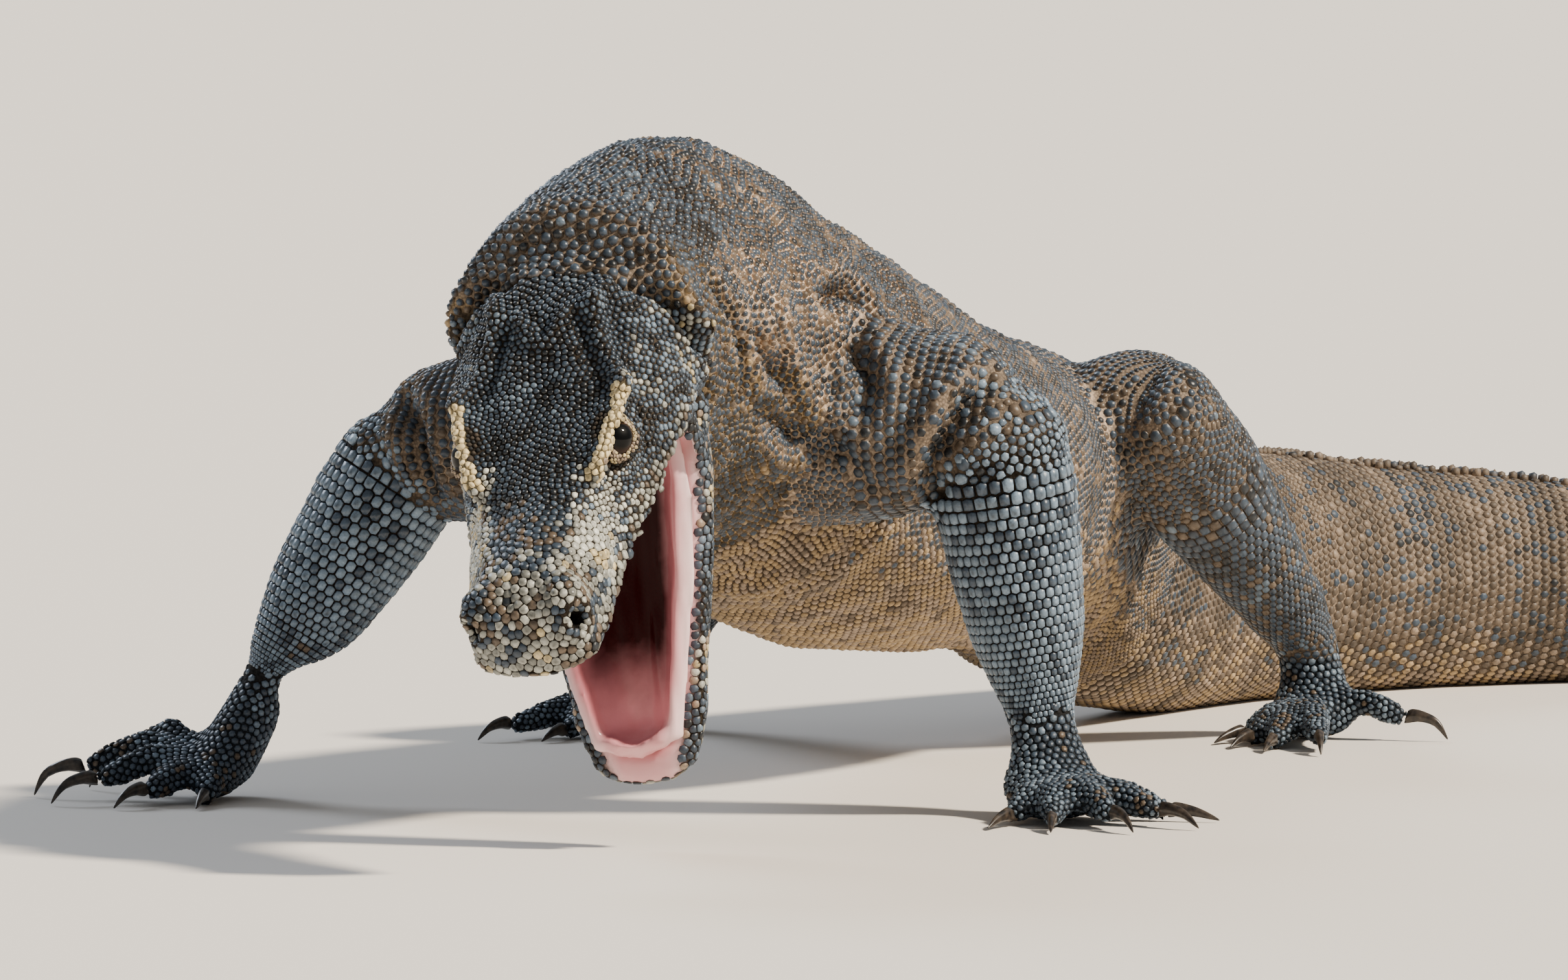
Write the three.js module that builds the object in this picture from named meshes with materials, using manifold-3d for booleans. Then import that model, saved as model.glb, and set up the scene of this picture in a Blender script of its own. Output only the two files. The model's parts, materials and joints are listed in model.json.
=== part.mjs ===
// Komodo dragon (Varanus komodoensis): a still, life-size model of an adult that stands with its
// head lowered and its mouth open wide. Millimetres, +Z up, the floor at Z = 0. It faces -Y, so its
// left side is +X, and the tail sweeps away behind it to its left. Every part of flesh is a solid of
// its own, parted from its neighbours by a thin gap, and so are the eyes, the mouth lining and the claws.
import * as THREE from "three";
import { mergeVertices } from "three/addons/utils/BufferGeometryUtils.js";
import Module from "manifold-3d";

const wasm = await Module();
wasm.setup();

// ---------------------------------------------------------------- driving dimensions
const GAP = 0.35; // between two solids that meet
const FLOOR_SINK = 2; // how far a sole is modelled under the floor, before the floor cuts it flat
const HEAD_LENGTH = 220; // snout tip to ear
const HEAD_HALF_WIDTH = 63;
const GAPE = THREE.MathUtils.degToRad(47); // between the upper and the lower jaw
const JAW_LENGTH = 208;
const EYE_RADIUS = 10.5;
const DIGIT_RADIUS = { hand: 9.2, foot: 9.4 };
const DIGIT_TIP_SHARE = 0.8; // of the digit's radius, under its tip
const CLAW_LENGTH = { hand: 27, foot: 25 };
const CLAW_RADIUS = 4.6;
const CLAW_TIP_HEIGHT = 1.4;
const WRIST_CUT_HEIGHT = 6; // of the cut between a limb and its paw, over the wrist or ankle
const ELBOW_REACH = 1.13; // the limb's bones overlap past the elbow or knee by this share of their length

const UP = new THREE.Vector3(0, 0, 1);
const v = (x, y, z) => new THREE.Vector3(x, y, z);

// ---------------------------------------------------------------- materials
const material = (color, roughness) => new THREE.MeshStandardMaterial({ color, roughness, metalness: 0 });
const HIDE_DARK = material("#3d4247", 0.55);
const HIDE_BROWN = material("#6b6152", 0.65);
const HIDE_TAIL = material("#6e6353", 0.7);
const FLESH = material("#c98a8c", 0.35);
const EYE = material("#1c130d", 0.1);
const HORN = material("#2b2622", 0.35);

// ---------------------------------------------------------------- helpers

// A table of rows [place, value, value...] read at any place, with smooth curves between the rows.
function profile(rows) {
  const places = rows.map((row) => row[0]);
  const values = rows.flatMap((row) => row.slice(1));
  const reader = new THREE.CubicInterpolant(places, values, rows[0].length - 1);
  return (place) => Array.from(reader.evaluate(THREE.MathUtils.clamp(place, places[0], places.at(-1))));
}

// The rings of a sweep, as [place along the path, share of the full section].
// An end is flat where its round is 0.
function ringPlaces(from, to, count, length, startRound, endRound, capRings) {
  const places = [[from, 0]];
  const cap = (round) => (round ? capRings : 1);
  for (let i = 1; i <= cap(startRound); i++) {
    const angle = ((i / cap(startRound)) * Math.PI) / 2;
    places.push([from + (startRound * (1 - Math.cos(angle))) / length, Math.sin(angle)]);
  }
  const first = from + startRound / length;
  const last = to - endRound / length;
  for (let i = 1; i < count; i++) places.push([first + ((last - first) * i) / count, 1]);
  for (let i = cap(endRound); i >= 1; i--) {
    const angle = ((i / cap(endRound)) * Math.PI) / 2;
    places.push([to - (endRound * (1 - Math.cos(angle))) / length, Math.sin(angle)]);
  }
  places.push([to, 0]);
  return places;
}

// Turns a closed geometry into a solid that can be joined and cut.
function solidOf(geometry) {
  geometry.deleteAttribute("normal");
  geometry.deleteAttribute("uv");
  const merged = mergeVertices(geometry, 1e-4);
  return new wasm.Manifold(
    new wasm.Mesh({
      numProp: 3,
      vertProperties: new Float32Array(merged.attributes.position.array),
      triVerts: new Uint32Array(merged.index.array),
    }),
  );
}

// A body along a path. section(place) gives
// [half width, height over the path, depth under it, squareness, taper]:
// squareness is the superellipse's power, and taper draws the section's top together.
function sweep(options) {
  const { path, section, sides = 16, count = 8, from = 0, to = 1 } = options;
  const { startRound = 0, endRound = 0, capRings = 3, up = UP, grow = 0 } = options;
  const curve = new THREE.CatmullRomCurve3(path, false, "centripetal");
  curve.arcLengthDivisions = 600;
  const length = curve.getLength();
  const rings = ringPlaces(from, to, count, length, startRound, endRound, capRings);
  const geometry = new THREE.SphereGeometry(1, sides, rings.length - 1);
  const position = geometry.getAttribute("position");
  rings.forEach(([place, share], row) => {
    const at = THREE.MathUtils.clamp(place, 0, 1);
    const centre = curve.getPointAt(at);
    const along = curve.getTangentAt(at);
    const upright = up.clone().addScaledVector(along, -up.dot(along)).normalize();
    const side = new THREE.Vector3().crossVectors(upright, along);
    const [width, top, bottom, power = 2, taper = 0] = section(place);
    if (row === 0) centre.addScaledVector(along, -grow);
    if (row === rings.length - 1) centre.addScaledVector(along, grow);
    for (let i = 0; i <= sides; i++) {
      const angle = (i / sides) * 2 * Math.PI;
      const [x, z] = [-Math.cos(angle), Math.sin(angle)];
      const high = Math.sign(z) * Math.abs(z) ** (2 / power);
      const wide = Math.sign(x) * Math.abs(x) ** (2 / power) * (1 - taper * Math.max(0, high));
      const point = centre.clone();
      point.addScaledVector(side, wide * (width * share + (share ? grow : 0)));
      point.addScaledVector(upright, high * ((z > 0 ? top : bottom) * share + (share ? grow : 0)));
      position.setXYZ(row * (sides + 1) + i, point.x, point.y, point.z);
    }
  });
  return solidOf(geometry);
}

// An ellipsoid with the given half sizes along a frame's axes.
function ellipsoid(centre, radii, axes, sides = 14, rings = 10) {
  const geometry = new THREE.SphereGeometry(1, sides, rings).rotateX(Math.PI / 2);
  geometry.scale(radii.x, radii.y, radii.z);
  geometry.applyMatrix4(new THREE.Matrix4().makeBasis(axes.x, axes.y, axes.z));
  geometry.translate(centre.x, centre.y, centre.z);
  return solidOf(geometry);
}

const join = (...solids) => solids.reduce((all, one) => all.add(one));
const cut = (solid, ...tools) => tools.reduce((left, tool) => left.subtract(tool), solid);
const onFloor = (solid) => solid.trimByPlane([0, 0, 1], 0);

// The solid's side of the plane through a point, beyond a share of the gap.
function sideOfPlane(solid, point, normal) {
  return solid.trimByPlane(normal.toArray(), point.dot(normal) + GAP / 2);
}

const root = new THREE.Group();
root.name = "komodo_dragon";

// Adds a solid's largest body to the model as a named mesh.
function addNode(name, solid, look) {
  const bodies = solid.decompose().sort((a, b) => b.volume() - a.volume());
  const { vertProperties, triVerts, numProp } = bodies[0].getMesh();
  const points = new Float32Array((vertProperties.length / numProp) * 3);
  for (let i = 0; i < points.length / 3; i++) {
    points.set(vertProperties.subarray(i * numProp, i * numProp + 3), i * 3);
  }
  const geometry = new THREE.BufferGeometry();
  geometry.setAttribute("position", new THREE.BufferAttribute(points, 3));
  geometry.setIndex(new THREE.BufferAttribute(new Uint32Array(triVerts), 1));
  geometry.computeVertexNormals();
  const mesh = new THREE.Mesh(geometry, look);
  mesh.name = name;
  root.add(mesh);
}

// ---------------------------------------------------------------- neck, trunk and tail
// One spine runs from inside the head to the tail's tip. Its sections are read by place along it.
const SPINE = [
  v(-106, 132, 262), v(-93, 205, 262), v(-75, 275, 260), v(-55, 352, 250), v(-22, 450, 222), v(22, 570, 188),
  v(72, 690, 162), v(118, 800, 139), v(160, 900, 112), v(212, 1010, 88), v(285, 1115, 73), v(390, 1200, 65),
  v(520, 1243, 57), v(680, 1250, 46), v(840, 1222, 34.5), v(985, 1165, 24), v(1110, 1085, 15), v(1205, 995, 8),
];
const spineCurve = new THREE.CatmullRomCurve3(SPINE, false, "centripetal");
spineCurve.arcLengthDivisions = 600;

// The place on the spine, from 0 to 1, that is nearest to a control point.
function spinePlace(index) {
  const steps = 2000;
  let best = 0;
  for (let i = 0; i <= steps; i++) {
    const nearer = spineCurve.getPointAt(i / steps).distanceTo(SPINE[index]);
    if (nearer < spineCurve.getPointAt(best).distanceTo(SPINE[index])) best = i / steps;
  }
  return best;
}
const at = SPINE.map((_, index) => spinePlace(index));

const spineSection = profile([
  [at[0], 62, 60, 58, 2, 0.04],
  [at[1], 67, 76, 92, 2, 0.16],
  [at[2], 74, 92, 112, 2, 0.22],
  [at[3], 93, 102, 110, 2, 0.28],
  [at[4], 104, 96, 118, 2.05, 0.18],
  [at[5], 116, 86, 119, 2.15, 0.08],
  [at[6], 112, 76, 104, 2.15, 0.05],
  [at[7], 88, 86, 88, 2.1, 0.02],
  [at[8], 74, 84, 96, 2.1, 0.04],
  [at[9], 62, 78, 92, 2.1, 0.08],
  [at[10], 54, 72, 77, 2.1, 0.1],
  [at[11], 48, 65, 69, 2.1, 0.12],
  [at[12], 41, 58, 61, 2.1, 0.14],
  [at[13], 32, 47, 49.5, 2.1, 0.14],
  [at[14], 24, 36, 37.5, 2.1, 0.12],
  [at[15], 17, 25.5, 26.8, 2.1, 0.1],
  [at[16], 11, 16, 17.3, 2, 0],
  [at[17], 5.5, 7.5, 9.5, 2, 0],
]);

// A length of the spine's body between two places, with a flat face at each cut.
function spineLength(from, to, options = {}) {
  const gap = GAP / 2 / spineCurve.getLength();
  const { grow = 0, ...more } = options;
  return sweep({
    path: SPINE,
    section: spineSection,
    from: from === 0 ? 0 : from + gap,
    to: to === 1 ? 1 : to - gap,
    grow,
    ...more,
  });
}

const NECK_END = at[3] - 0.012;
const TRUNK_END = at[8] - 0.006;
const TAIL_CUTS = [TRUNK_END, at[11], at[13], at[15], 1];
const TAIL_NAMES = ["tail_base", "tail_middle", "tail_end", "tail_tip"];

// ---------------------------------------------------------------- the head's frame
// Its origin is on the lip line between the ears. The snout points down and forwards, turned a little
// to the animal's right and rolled a little, so that its left side is the higher.
const head = {
  origin: v(-99, 161, 246),
  forward: v(-0.095, -0.726, -0.681).normalize(),
};
head.up = v(-0.277, -0.638, 0.718);
head.left = new THREE.Vector3().crossVectors(head.up, head.forward).normalize();
head.up.crossVectors(head.forward, head.left).normalize();
head.axes = { x: head.left.clone().negate(), y: head.forward, z: head.up };

// A point or direction given in the head's own directions: left, forwards and up.
function headPoint(left, forward, up) {
  return head.origin
    .clone()
    .addScaledVector(head.left, left)
    .addScaledVector(head.forward, forward)
    .addScaledVector(head.up, up);
}

// The lower jaw turns down from the head about the line through both jaw joints.
const jaw = { origin: headPoint(0, 4, -10) };
jaw.forward = head.forward.clone().applyAxisAngle(head.left, GAPE);
jaw.up = new THREE.Vector3().crossVectors(jaw.forward, head.left).normalize();
const jawPoint = (left, forward, up) =>
  jaw.origin
    .clone()
    .addScaledVector(head.left, left)
    .addScaledVector(jaw.forward, forward)
    .addScaledVector(jaw.up, up);

// ---------------------------------------------------------------- the head
const HEAD_BACK = -34; // how far the skull reaches behind the ears, inside the neck
const headShare = (forward) => (forward - HEAD_BACK) / (HEAD_LENGTH - HEAD_BACK);
const W = HEAD_HALF_WIDTH;

const skullSection = profile([
  [headShare(-34), W - 14, 52, 30, 2.2, 0.1],
  [headShare(0), W - 3, 62, 34, 2.3, 0.18],
  [headShare(30), W, 64, 24, 2.5, 0.26],
  [headShare(60), W - 2, 58, 5, 2.7, 0.28],
  [headShare(90), W - 9, 52, 2, 2.8, 0.28],
  [headShare(120), W - 16, 47, 1, 2.8, 0.28],
  [headShare(155), W - 23, 44, 1, 2.7, 0.26],
  [headShare(185), W - 26, 44, 2, 2.6, 0.24],
  [headShare(204), W - 28, 40, 2, 2.5, 0.22],
  [headShare(HEAD_LENGTH), W - 40, 22, 2, 2.3, 0.1],
]);

function skull(grow = 0) {
  const body = sweep({
    path: [headPoint(0, HEAD_BACK, 0), headPoint(0, 95, 0), headPoint(0, HEAD_LENGTH, 0)],
    section: skullSection,
    sides: 18,
    count: 10,
    startRound: 14,
    endRound: 12,
    capRings: 2,
    up: head.up,
    grow,
  });
  return join(body, ...[1, -1].flatMap((side) => [brow(side, grow), noseSwelling(side, grow)]));
}

// The brow stands out over the eye as a brim, and runs on to the snout as a low ridge.
const BROW = [v(39, 54, 45), v(37.5, 90, 46), v(28, 124, 40)];

function brow(side, grow) {
  return sweep({
    path: BROW.map((place) => headPoint(side * place.x, place.y, place.z)),
    section: profile([
      [0, 8 + grow, 4 + grow, 7],
      [0.5, 9 + grow, 5 + grow, 6],
      [1, 7 + grow, 4 + grow, 7],
    ]),
    sides: 6,
    count: 2,
    startRound: 6,
    endRound: 6,
    capRings: 1,
    up: head.up,
  });
}

// The muzzle swells over each nostril.
const NOSE_SWELLING = { place: v(22, 195, 25), size: v(12, 15, 16) };

function noseSwelling(side, grow) {
  const { place, size } = NOSE_SWELLING;
  const centre = headPoint(side * place.x, place.y, place.z);
  return ellipsoid(centre, size.clone().addScalar(grow), head.axes, 6, 4);
}

const EYE_PLACE = { out: 36, forward: 97, up: 35 };

function eyeBall(side, radius) {
  const centre = headPoint(side * EYE_PLACE.out, EYE_PLACE.forward, EYE_PLACE.up);
  return ellipsoid(centre, v(radius, radius, radius), head.axes, 9, 6);
}

const NOSTRIL = { place: v(33, 200, 20), size: v(6, 6, 3.6) };
const EAR = { place: v(59, 8, 24), size: v(6, 6, 10) };

function hollow(side, { place, size }) {
  return ellipsoid(headPoint(side * place.x, place.y, place.z), size, head.axes, 6, 4);
}

// The vault of the palate, hollowed out of the upper jaw between the lips.
function palate() {
  return sweep({
    path: [headPoint(0, 34, -6), headPoint(0, 130, -5), headPoint(0, 211, -5)],
    section: profile([
      [0, W - 16, 20, 30],
      [0.35, W - 18, 19, 12],
      [0.75, W - 30, 16, 10],
      [1, W - 38, 11, 8],
    ]),
    sides: 10,
    count: 4,
    startRound: 12,
    endRound: 12,
    capRings: 1,
    up: head.up,
  });
}

// ---------------------------------------------------------------- the lower jaw
function mandible() {
  return sweep({
    path: [jawPoint(0, -14, -16), jawPoint(0, 90, -11), jawPoint(0, JAW_LENGTH, -5)],
    section: profile([
      [0, W - 14, 17, 30, 2.3],
      [0.25, W - 9, 15, 30, 2.4],
      [0.5, W - 15, 11, 24, 2.6],
      [0.75, W - 25, 10, 18, 2.6],
      [0.92, W - 31, 9, 14, 2.4],
      [1, W - 42, 7, 8, 2.2],
    ]),
    sides: 16,
    count: 8,
    startRound: 14,
    endRound: 10,
    capRings: 2,
    up: jaw.up,
  });
}

// The hollow of the lower jaw between its lips. inset draws every wall in.
function mouthFloor(inset = 0) {
  return sweep({
    path: [jawPoint(0, 16 + inset, 6), jawPoint(0, 95, 6), jawPoint(0, JAW_LENGTH - 13 - inset, 6)],
    section: profile([
      [0, W - 19 - inset, 12, 16 - inset],
      [0.3, W - 16 - inset, 12, 17 - inset],
      [0.65, W - 26 - inset, 12, 14 - inset],
      [1, W - 40 - inset, 12, 11 - inset],
    ]),
    sides: 10,
    count: 4,
    startRound: 10,
    endRound: 10,
    capRings: 1,
    up: jaw.up,
  });
}

// The pink lining fills the lower jaw's hollow to a flat floor between the gums.
function lining() {
  const gumWidth = 6;
  const space = sweep({
    path: [jawPoint(0, 4, 20), jawPoint(0, 95, 18), jawPoint(0, JAW_LENGTH - 22, 18)],
    section: profile([
      [0, W - 19 - gumWidth, 40, 20],
      [0.3, W - 16 - gumWidth, 40, 22],
      [0.65, W - 26 - gumWidth, 40, 20],
      [1, W - 40 - gumWidth, 40, 17],
    ]),
    sides: 10,
    count: 4,
    startRound: 8,
    endRound: 8,
    capRings: 1,
    up: jaw.up,
  });
  return cut(mouthFloor(GAP), space);
}

// Each cheek's web of skin, stretched between the jaws at the corner of the mouth.
function cheekWeb(side) {
  const upper = headPoint(side * (W - 11), 56, 2);
  const lower = jawPoint(side * (W - 11), 50, -2);
  const inner = headPoint(side * (W - 11), 12, -8);
  const middle = upper.clone().add(lower).multiplyScalar(0.5).lerp(inner, 0.35);
  return sweep({
    path: [upper, middle, lower],
    section: () => [10, 4, 4, 2.2],
    sides: 7,
    count: 4,
    startRound: 4,
    endRound: 4,
    capRings: 1,
    up: head.left.clone().multiplyScalar(side),
  });
}

// ---------------------------------------------------------------- limbs
// Each limb is given by its joints, from the trunk out. upper and lower are rows of
// [place, half width, depth to one side, depth to the other]. turns are the digits' angles from the
// heading, and arch lifts each digit.
const LIMBS = {
  front_left: {
    kind: "hand",
    joints: [v(-8, 372, 206), v(108, 342, 203), v(134, 352, 46)],
    palm: v(140, 324, 13),
    heading: -68,
    upper: [[0, 60, 56, 62], [0.35, 56, 53, 56], [0.7, 48, 47, 46], [1, 41, 44, 40]],
    lower: [[0, 37, 40, 38], [0.3, 38, 38, 38], [0.6, 34, 33, 34], [0.85, 27, 26, 27], [1, 24, 23, 24]],
    names: ["upper_arm_left", "forearm_left", "hand_left", "claw_hand_left"],
    turns: [-50, -25, 0, 24, 52],
    arch: [0, 0, 2, 2, 0],
    lowerUp: v(0, -1, 0),
  },
  front_right: {
    kind: "hand",
    joints: [v(-84, 392, 206), v(-194, 446, 184), v(-272, 440, 62)],
    palm: v(-296, 442, 13),
    heading: 205,
    upper: [[0, 60, 56, 62], [0.35, 55, 52, 55], [0.7, 45, 43, 44], [1, 37, 39, 38]],
    lower: [[0, 35, 37, 37], [0.3, 36, 36, 37], [0.6, 32, 31, 32], [0.85, 26, 25, 26], [1, 24, 22, 23]],
    names: ["upper_arm_right", "forearm_right", "hand_right", "claw_hand_right"],
    turns: [58, 30, 4, -26, -58],
    arch: [0, 2, 8, 13, 18],
    lowerUp: v(0, -1, 0),
  },
  hind_left: {
    kind: "foot",
    joints: [v(150, 836, 128), v(204, 706, 187), v(305, 850, 42)],
    palm: v(296, 820, 13),
    heading: -104,
    upper: [[0, 66, 66, 66], [0.4, 66, 60, 62], [0.75, 53, 47, 50], [1, 41, 38, 39]],
    lower: [[0, 36, 37, 37], [0.3, 39, 34, 37], [0.6, 30, 28, 30], [0.85, 22, 22, 23], [1, 21, 20, 21]],
    names: ["thigh_left", "shank_left", "foot_left", "claw_foot_left"],
    turns: [-34, -17, -2, 14, 84],
    arch: [0, 0, 0, 2, 8],
    lowerUp: v(0, -1, 0),
  },
  hind_right: {
    kind: "foot",
    joints: [v(88, 862, 128), v(-22, 780, 180), v(-66, 905, 40)],
    palm: v(-80, 876, 13),
    heading: 238,
    upper: [[0, 66, 66, 66], [0.4, 65, 60, 62], [0.75, 52, 46, 49], [1, 40, 38, 39]],
    lower: [[0, 36, 37, 37], [0.3, 39, 34, 37], [0.6, 30, 28, 30], [0.85, 22, 22, 23], [1, 21, 20, 21]],
    names: ["thigh_right", "shank_right", "foot_right", "claw_foot_right"],
    turns: [34, 17, 2, -14, -80],
    arch: [0, 0, 0, 2, 0],
    lowerUp: v(0, -1, 0),
  },
};
// Each digit's length from the palm's middle to the root of its claw, first digit to fifth.
const DIGIT_LENGTHS = { hand: [50, 64, 72, 72, 60], foot: [50, 68, 86, 102, 56] };
const PALM = {
  hand: [[0, 24, 22, 22], [0.4, 28, 19, 18], [0.75, 31, 13, 15], [1, 30, 10, 13]],
  foot: [[0, 21, 20, 20], [0.4, 26, 18, 18], [0.75, 29, 13, 15], [1, 28, 10, 13]],
};

function limbUpper(limb) {
  const [start, middle] = limb.joints;
  return sweep({
    path: [start, start.clone().lerp(middle, 0.5), start.clone().lerp(middle, ELBOW_REACH)],
    section: profile(limb.upper),
    sides: 12,
    count: 4,
    startRound: 20,
    endRound: 26,
    capRings: 2,
  });
}

function limbLower(limb) {
  const [, middle, end] = limb.joints;
  return sweep({
    path: [middle.clone().lerp(end, 1 - ELBOW_REACH), middle.clone().lerp(end, 0.5), end],
    section: profile(limb.lower),
    sides: 12,
    count: 4,
    startRound: 26,
    endRound: 10,
    capRings: 2,
    up: limb.lowerUp,
  });
}

// A digit's path over the floor, from the palm out: arched at the knuckle, and down again at the tip.
function digitPath(limb, index) {
  const turn = THREE.MathUtils.degToRad(limb.heading + limb.turns[index]);
  const out = v(Math.cos(turn), Math.sin(turn), 0);
  const length = DIGIT_LENGTHS[limb.kind][index];
  const radius = DIGIT_RADIUS[limb.kind];
  const lift = limb.arch[index];
  const end = DIGIT_TIP_SHARE * radius + (lift ? 0.7 * lift : -FLOOR_SINK);
  const high = (share, z) => limb.palm.clone().setZ(0).addScaledVector(out, share * length).setZ(z);
  return {
    out,
    points: [high(0.12, 13), high(0.45, radius + 7 + lift), high(0.75, radius + 1 + lift), high(1, end)],
  };
}

function digit(limb, index) {
  const radius = DIGIT_RADIUS[limb.kind];
  return sweep({
    path: digitPath(limb, index).points,
    section: profile([
      [0, radius * 1.15, radius * 1.05, radius * 1.1],
      [0.55, radius, radius, radius],
      [0.85, radius * 0.95, radius * 0.92, radius],
      [0.95, radius * 0.85, radius * 0.8, radius * 0.96],
      [1, radius * 0.6, radius * 0.6, radius * DIGIT_TIP_SHARE],
    ]),
    sides: 6,
    count: 4,
  });
}

function paw(limb) {
  const wrist = limb.joints[2];
  const front = limb.palm.clone().addScaledVector(digitPath(limb, 2).out, 18).setZ(11);
  const sole = sweep({
    path: [wrist, wrist.clone().lerp(limb.palm, 0.5), limb.palm, front],
    section: profile(PALM[limb.kind]),
    sides: 10,
    count: 4,
    startRound: 6,
    endRound: 10,
    capRings: 1,
  });
  return join(sole, ...limb.turns.map((_, index) => digit(limb, index)));
}

// A hooked claw. A flat cut parts it from the digit's tip, and its own tip stays just clear of the floor.
function claw(limb, index) {
  const { out, points } = digitPath(limb, index);
  const length = CLAW_LENGTH[limb.kind];
  const base = points.at(-1);
  const step = (share, z) => base.clone().addScaledVector(out, share * length).setZ(z);
  const hook = sweep({
    path: [step(-0.15, base.z), step(0.4, base.z + 1.5), step(0.8, base.z - 2.5), step(1, CLAW_TIP_HEIGHT)],
    section: profile([
      [0, CLAW_RADIUS * 0.8, CLAW_RADIUS, CLAW_RADIUS],
      [0.5, CLAW_RADIUS * 0.62, CLAW_RADIUS * 0.85, CLAW_RADIUS * 0.8],
      [1, CLAW_RADIUS * 0.12, CLAW_RADIUS * 0.15, CLAW_RADIUS * 0.15],
    ]),
    sides: 5,
    count: 3,
  });
  const tipWay = new THREE.CatmullRomCurve3(points, false, "centripetal").getTangentAt(1);
  return sideOfPlane(hook, base.clone().addScaledVector(tipWay, GAP / 2), tipWay);
}

// ---------------------------------------------------------------- assembly
const neckWhole = (grow = 0) =>
  spineLength(0, NECK_END, { sides: 18, count: 6, startRound: 14, grow });
const trunkWhole = (grow = 0) => spineLength(NECK_END, TRUNK_END, { sides: 18, count: 10, grow });

function tailLength(index, grow = 0) {
  const endRound = index === TAIL_NAMES.length - 1 ? 8 : 0;
  return spineLength(TAIL_CUTS[index], TAIL_CUTS[index + 1], { sides: 14, count: 5, endRound, grow });
}

// The nape's cut, through the ears: the head is in front of it and the neck behind.
const nape = { point: headPoint(0, -4, 20), normal: head.forward.clone().lerp(UP, -0.1).normalize() };

function buildHead() {
  const balls = [1, -1].map((side) => eyeBall(side, EYE_RADIUS + GAP));
  const holes = [1, -1].flatMap((side) => [hollow(side, NOSTRIL), hollow(side, EAR)]);
  const front = sideOfPlane(join(skull(), neckWhole()), nape.point, nape.normal);
  addNode("head", cut(front, palate(), ...balls, ...holes), HIDE_DARK);
  addNode("eye_left", eyeBall(1, EYE_RADIUS), EYE);
  addNode("eye_right", eyeBall(-1, EYE_RADIUS), EYE);
}

function buildBody() {
  const back = sideOfPlane(join(skull(), neckWhole()), nape.point, nape.normal.clone().negate());
  addNode("neck", back, HIDE_DARK);
  addNode("trunk", trunkWhole(), HIDE_BROWN);
  TAIL_NAMES.forEach((name, index) => addNode(name, onFloor(tailLength(index)), HIDE_TAIL));
}

function buildJaw() {
  const taken = [skull(GAP), neckWhole(GAP)];
  addNode("lower_jaw", cut(mandible(), mouthFloor(), ...taken), HIDE_DARK);
  addNode("mouth_lining", cut(lining(), ...taken), FLESH);
  ["left", "right"].forEach((name, index) => {
    const web = cheekWeb(index ? -1 : 1);
    addNode(`cheek_web_${name}`, cut(web, ...taken, mandible()), FLESH);
  });
}

function buildLimb(limb) {
  const [upperName, lowerName, pawName, clawName] = limb.names;
  const [start, middle, end] = limb.joints;
  const body = [trunkWhole(GAP), neckWhole(GAP)];
  if (limb.kind === "foot") body.push(tailLength(0, GAP));
  const upperWay = middle.clone().sub(start).normalize();
  const elbowWay = end.clone().sub(middle).normalize().add(upperWay).normalize();
  const down = UP.clone().negate();
  const wrist = end.clone().addScaledVector(UP, WRIST_CUT_HEIGHT);
  const upper = sideOfPlane(limbUpper(limb), middle, elbowWay.clone().negate());
  const lower = sideOfPlane(sideOfPlane(limbLower(limb), middle, elbowWay), wrist, UP);
  addNode(upperName, cut(upper, ...body), HIDE_DARK);
  addNode(lowerName, cut(lower, ...body), HIDE_DARK);
  addNode(pawName, onFloor(sideOfPlane(join(limbLower(limb), paw(limb)), wrist, down)), HIDE_DARK);
  limb.turns.forEach((_, index) => {
    addNode(`${clawName}_${index + 1}`, claw(limb, index), HORN);
  });
}

buildHead();
buildBody();
buildJaw();
Object.values(LIMBS).forEach(buildLimb);

// The origin is on the floor, under the middle of the model's box.
const box = new THREE.Box3().setFromObject(root);
root.position.set(-(box.min.x + box.max.x) / 2, -(box.min.y + box.max.y) / 2, 0);

export default root;
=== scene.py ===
import json
import math

import bmesh
import bpy
import numpy as np
from mathutils import Matrix, Vector, noise
from mathutils.bvhtree import BVHTree
from mathutils.kdtree import KDTree

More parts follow.
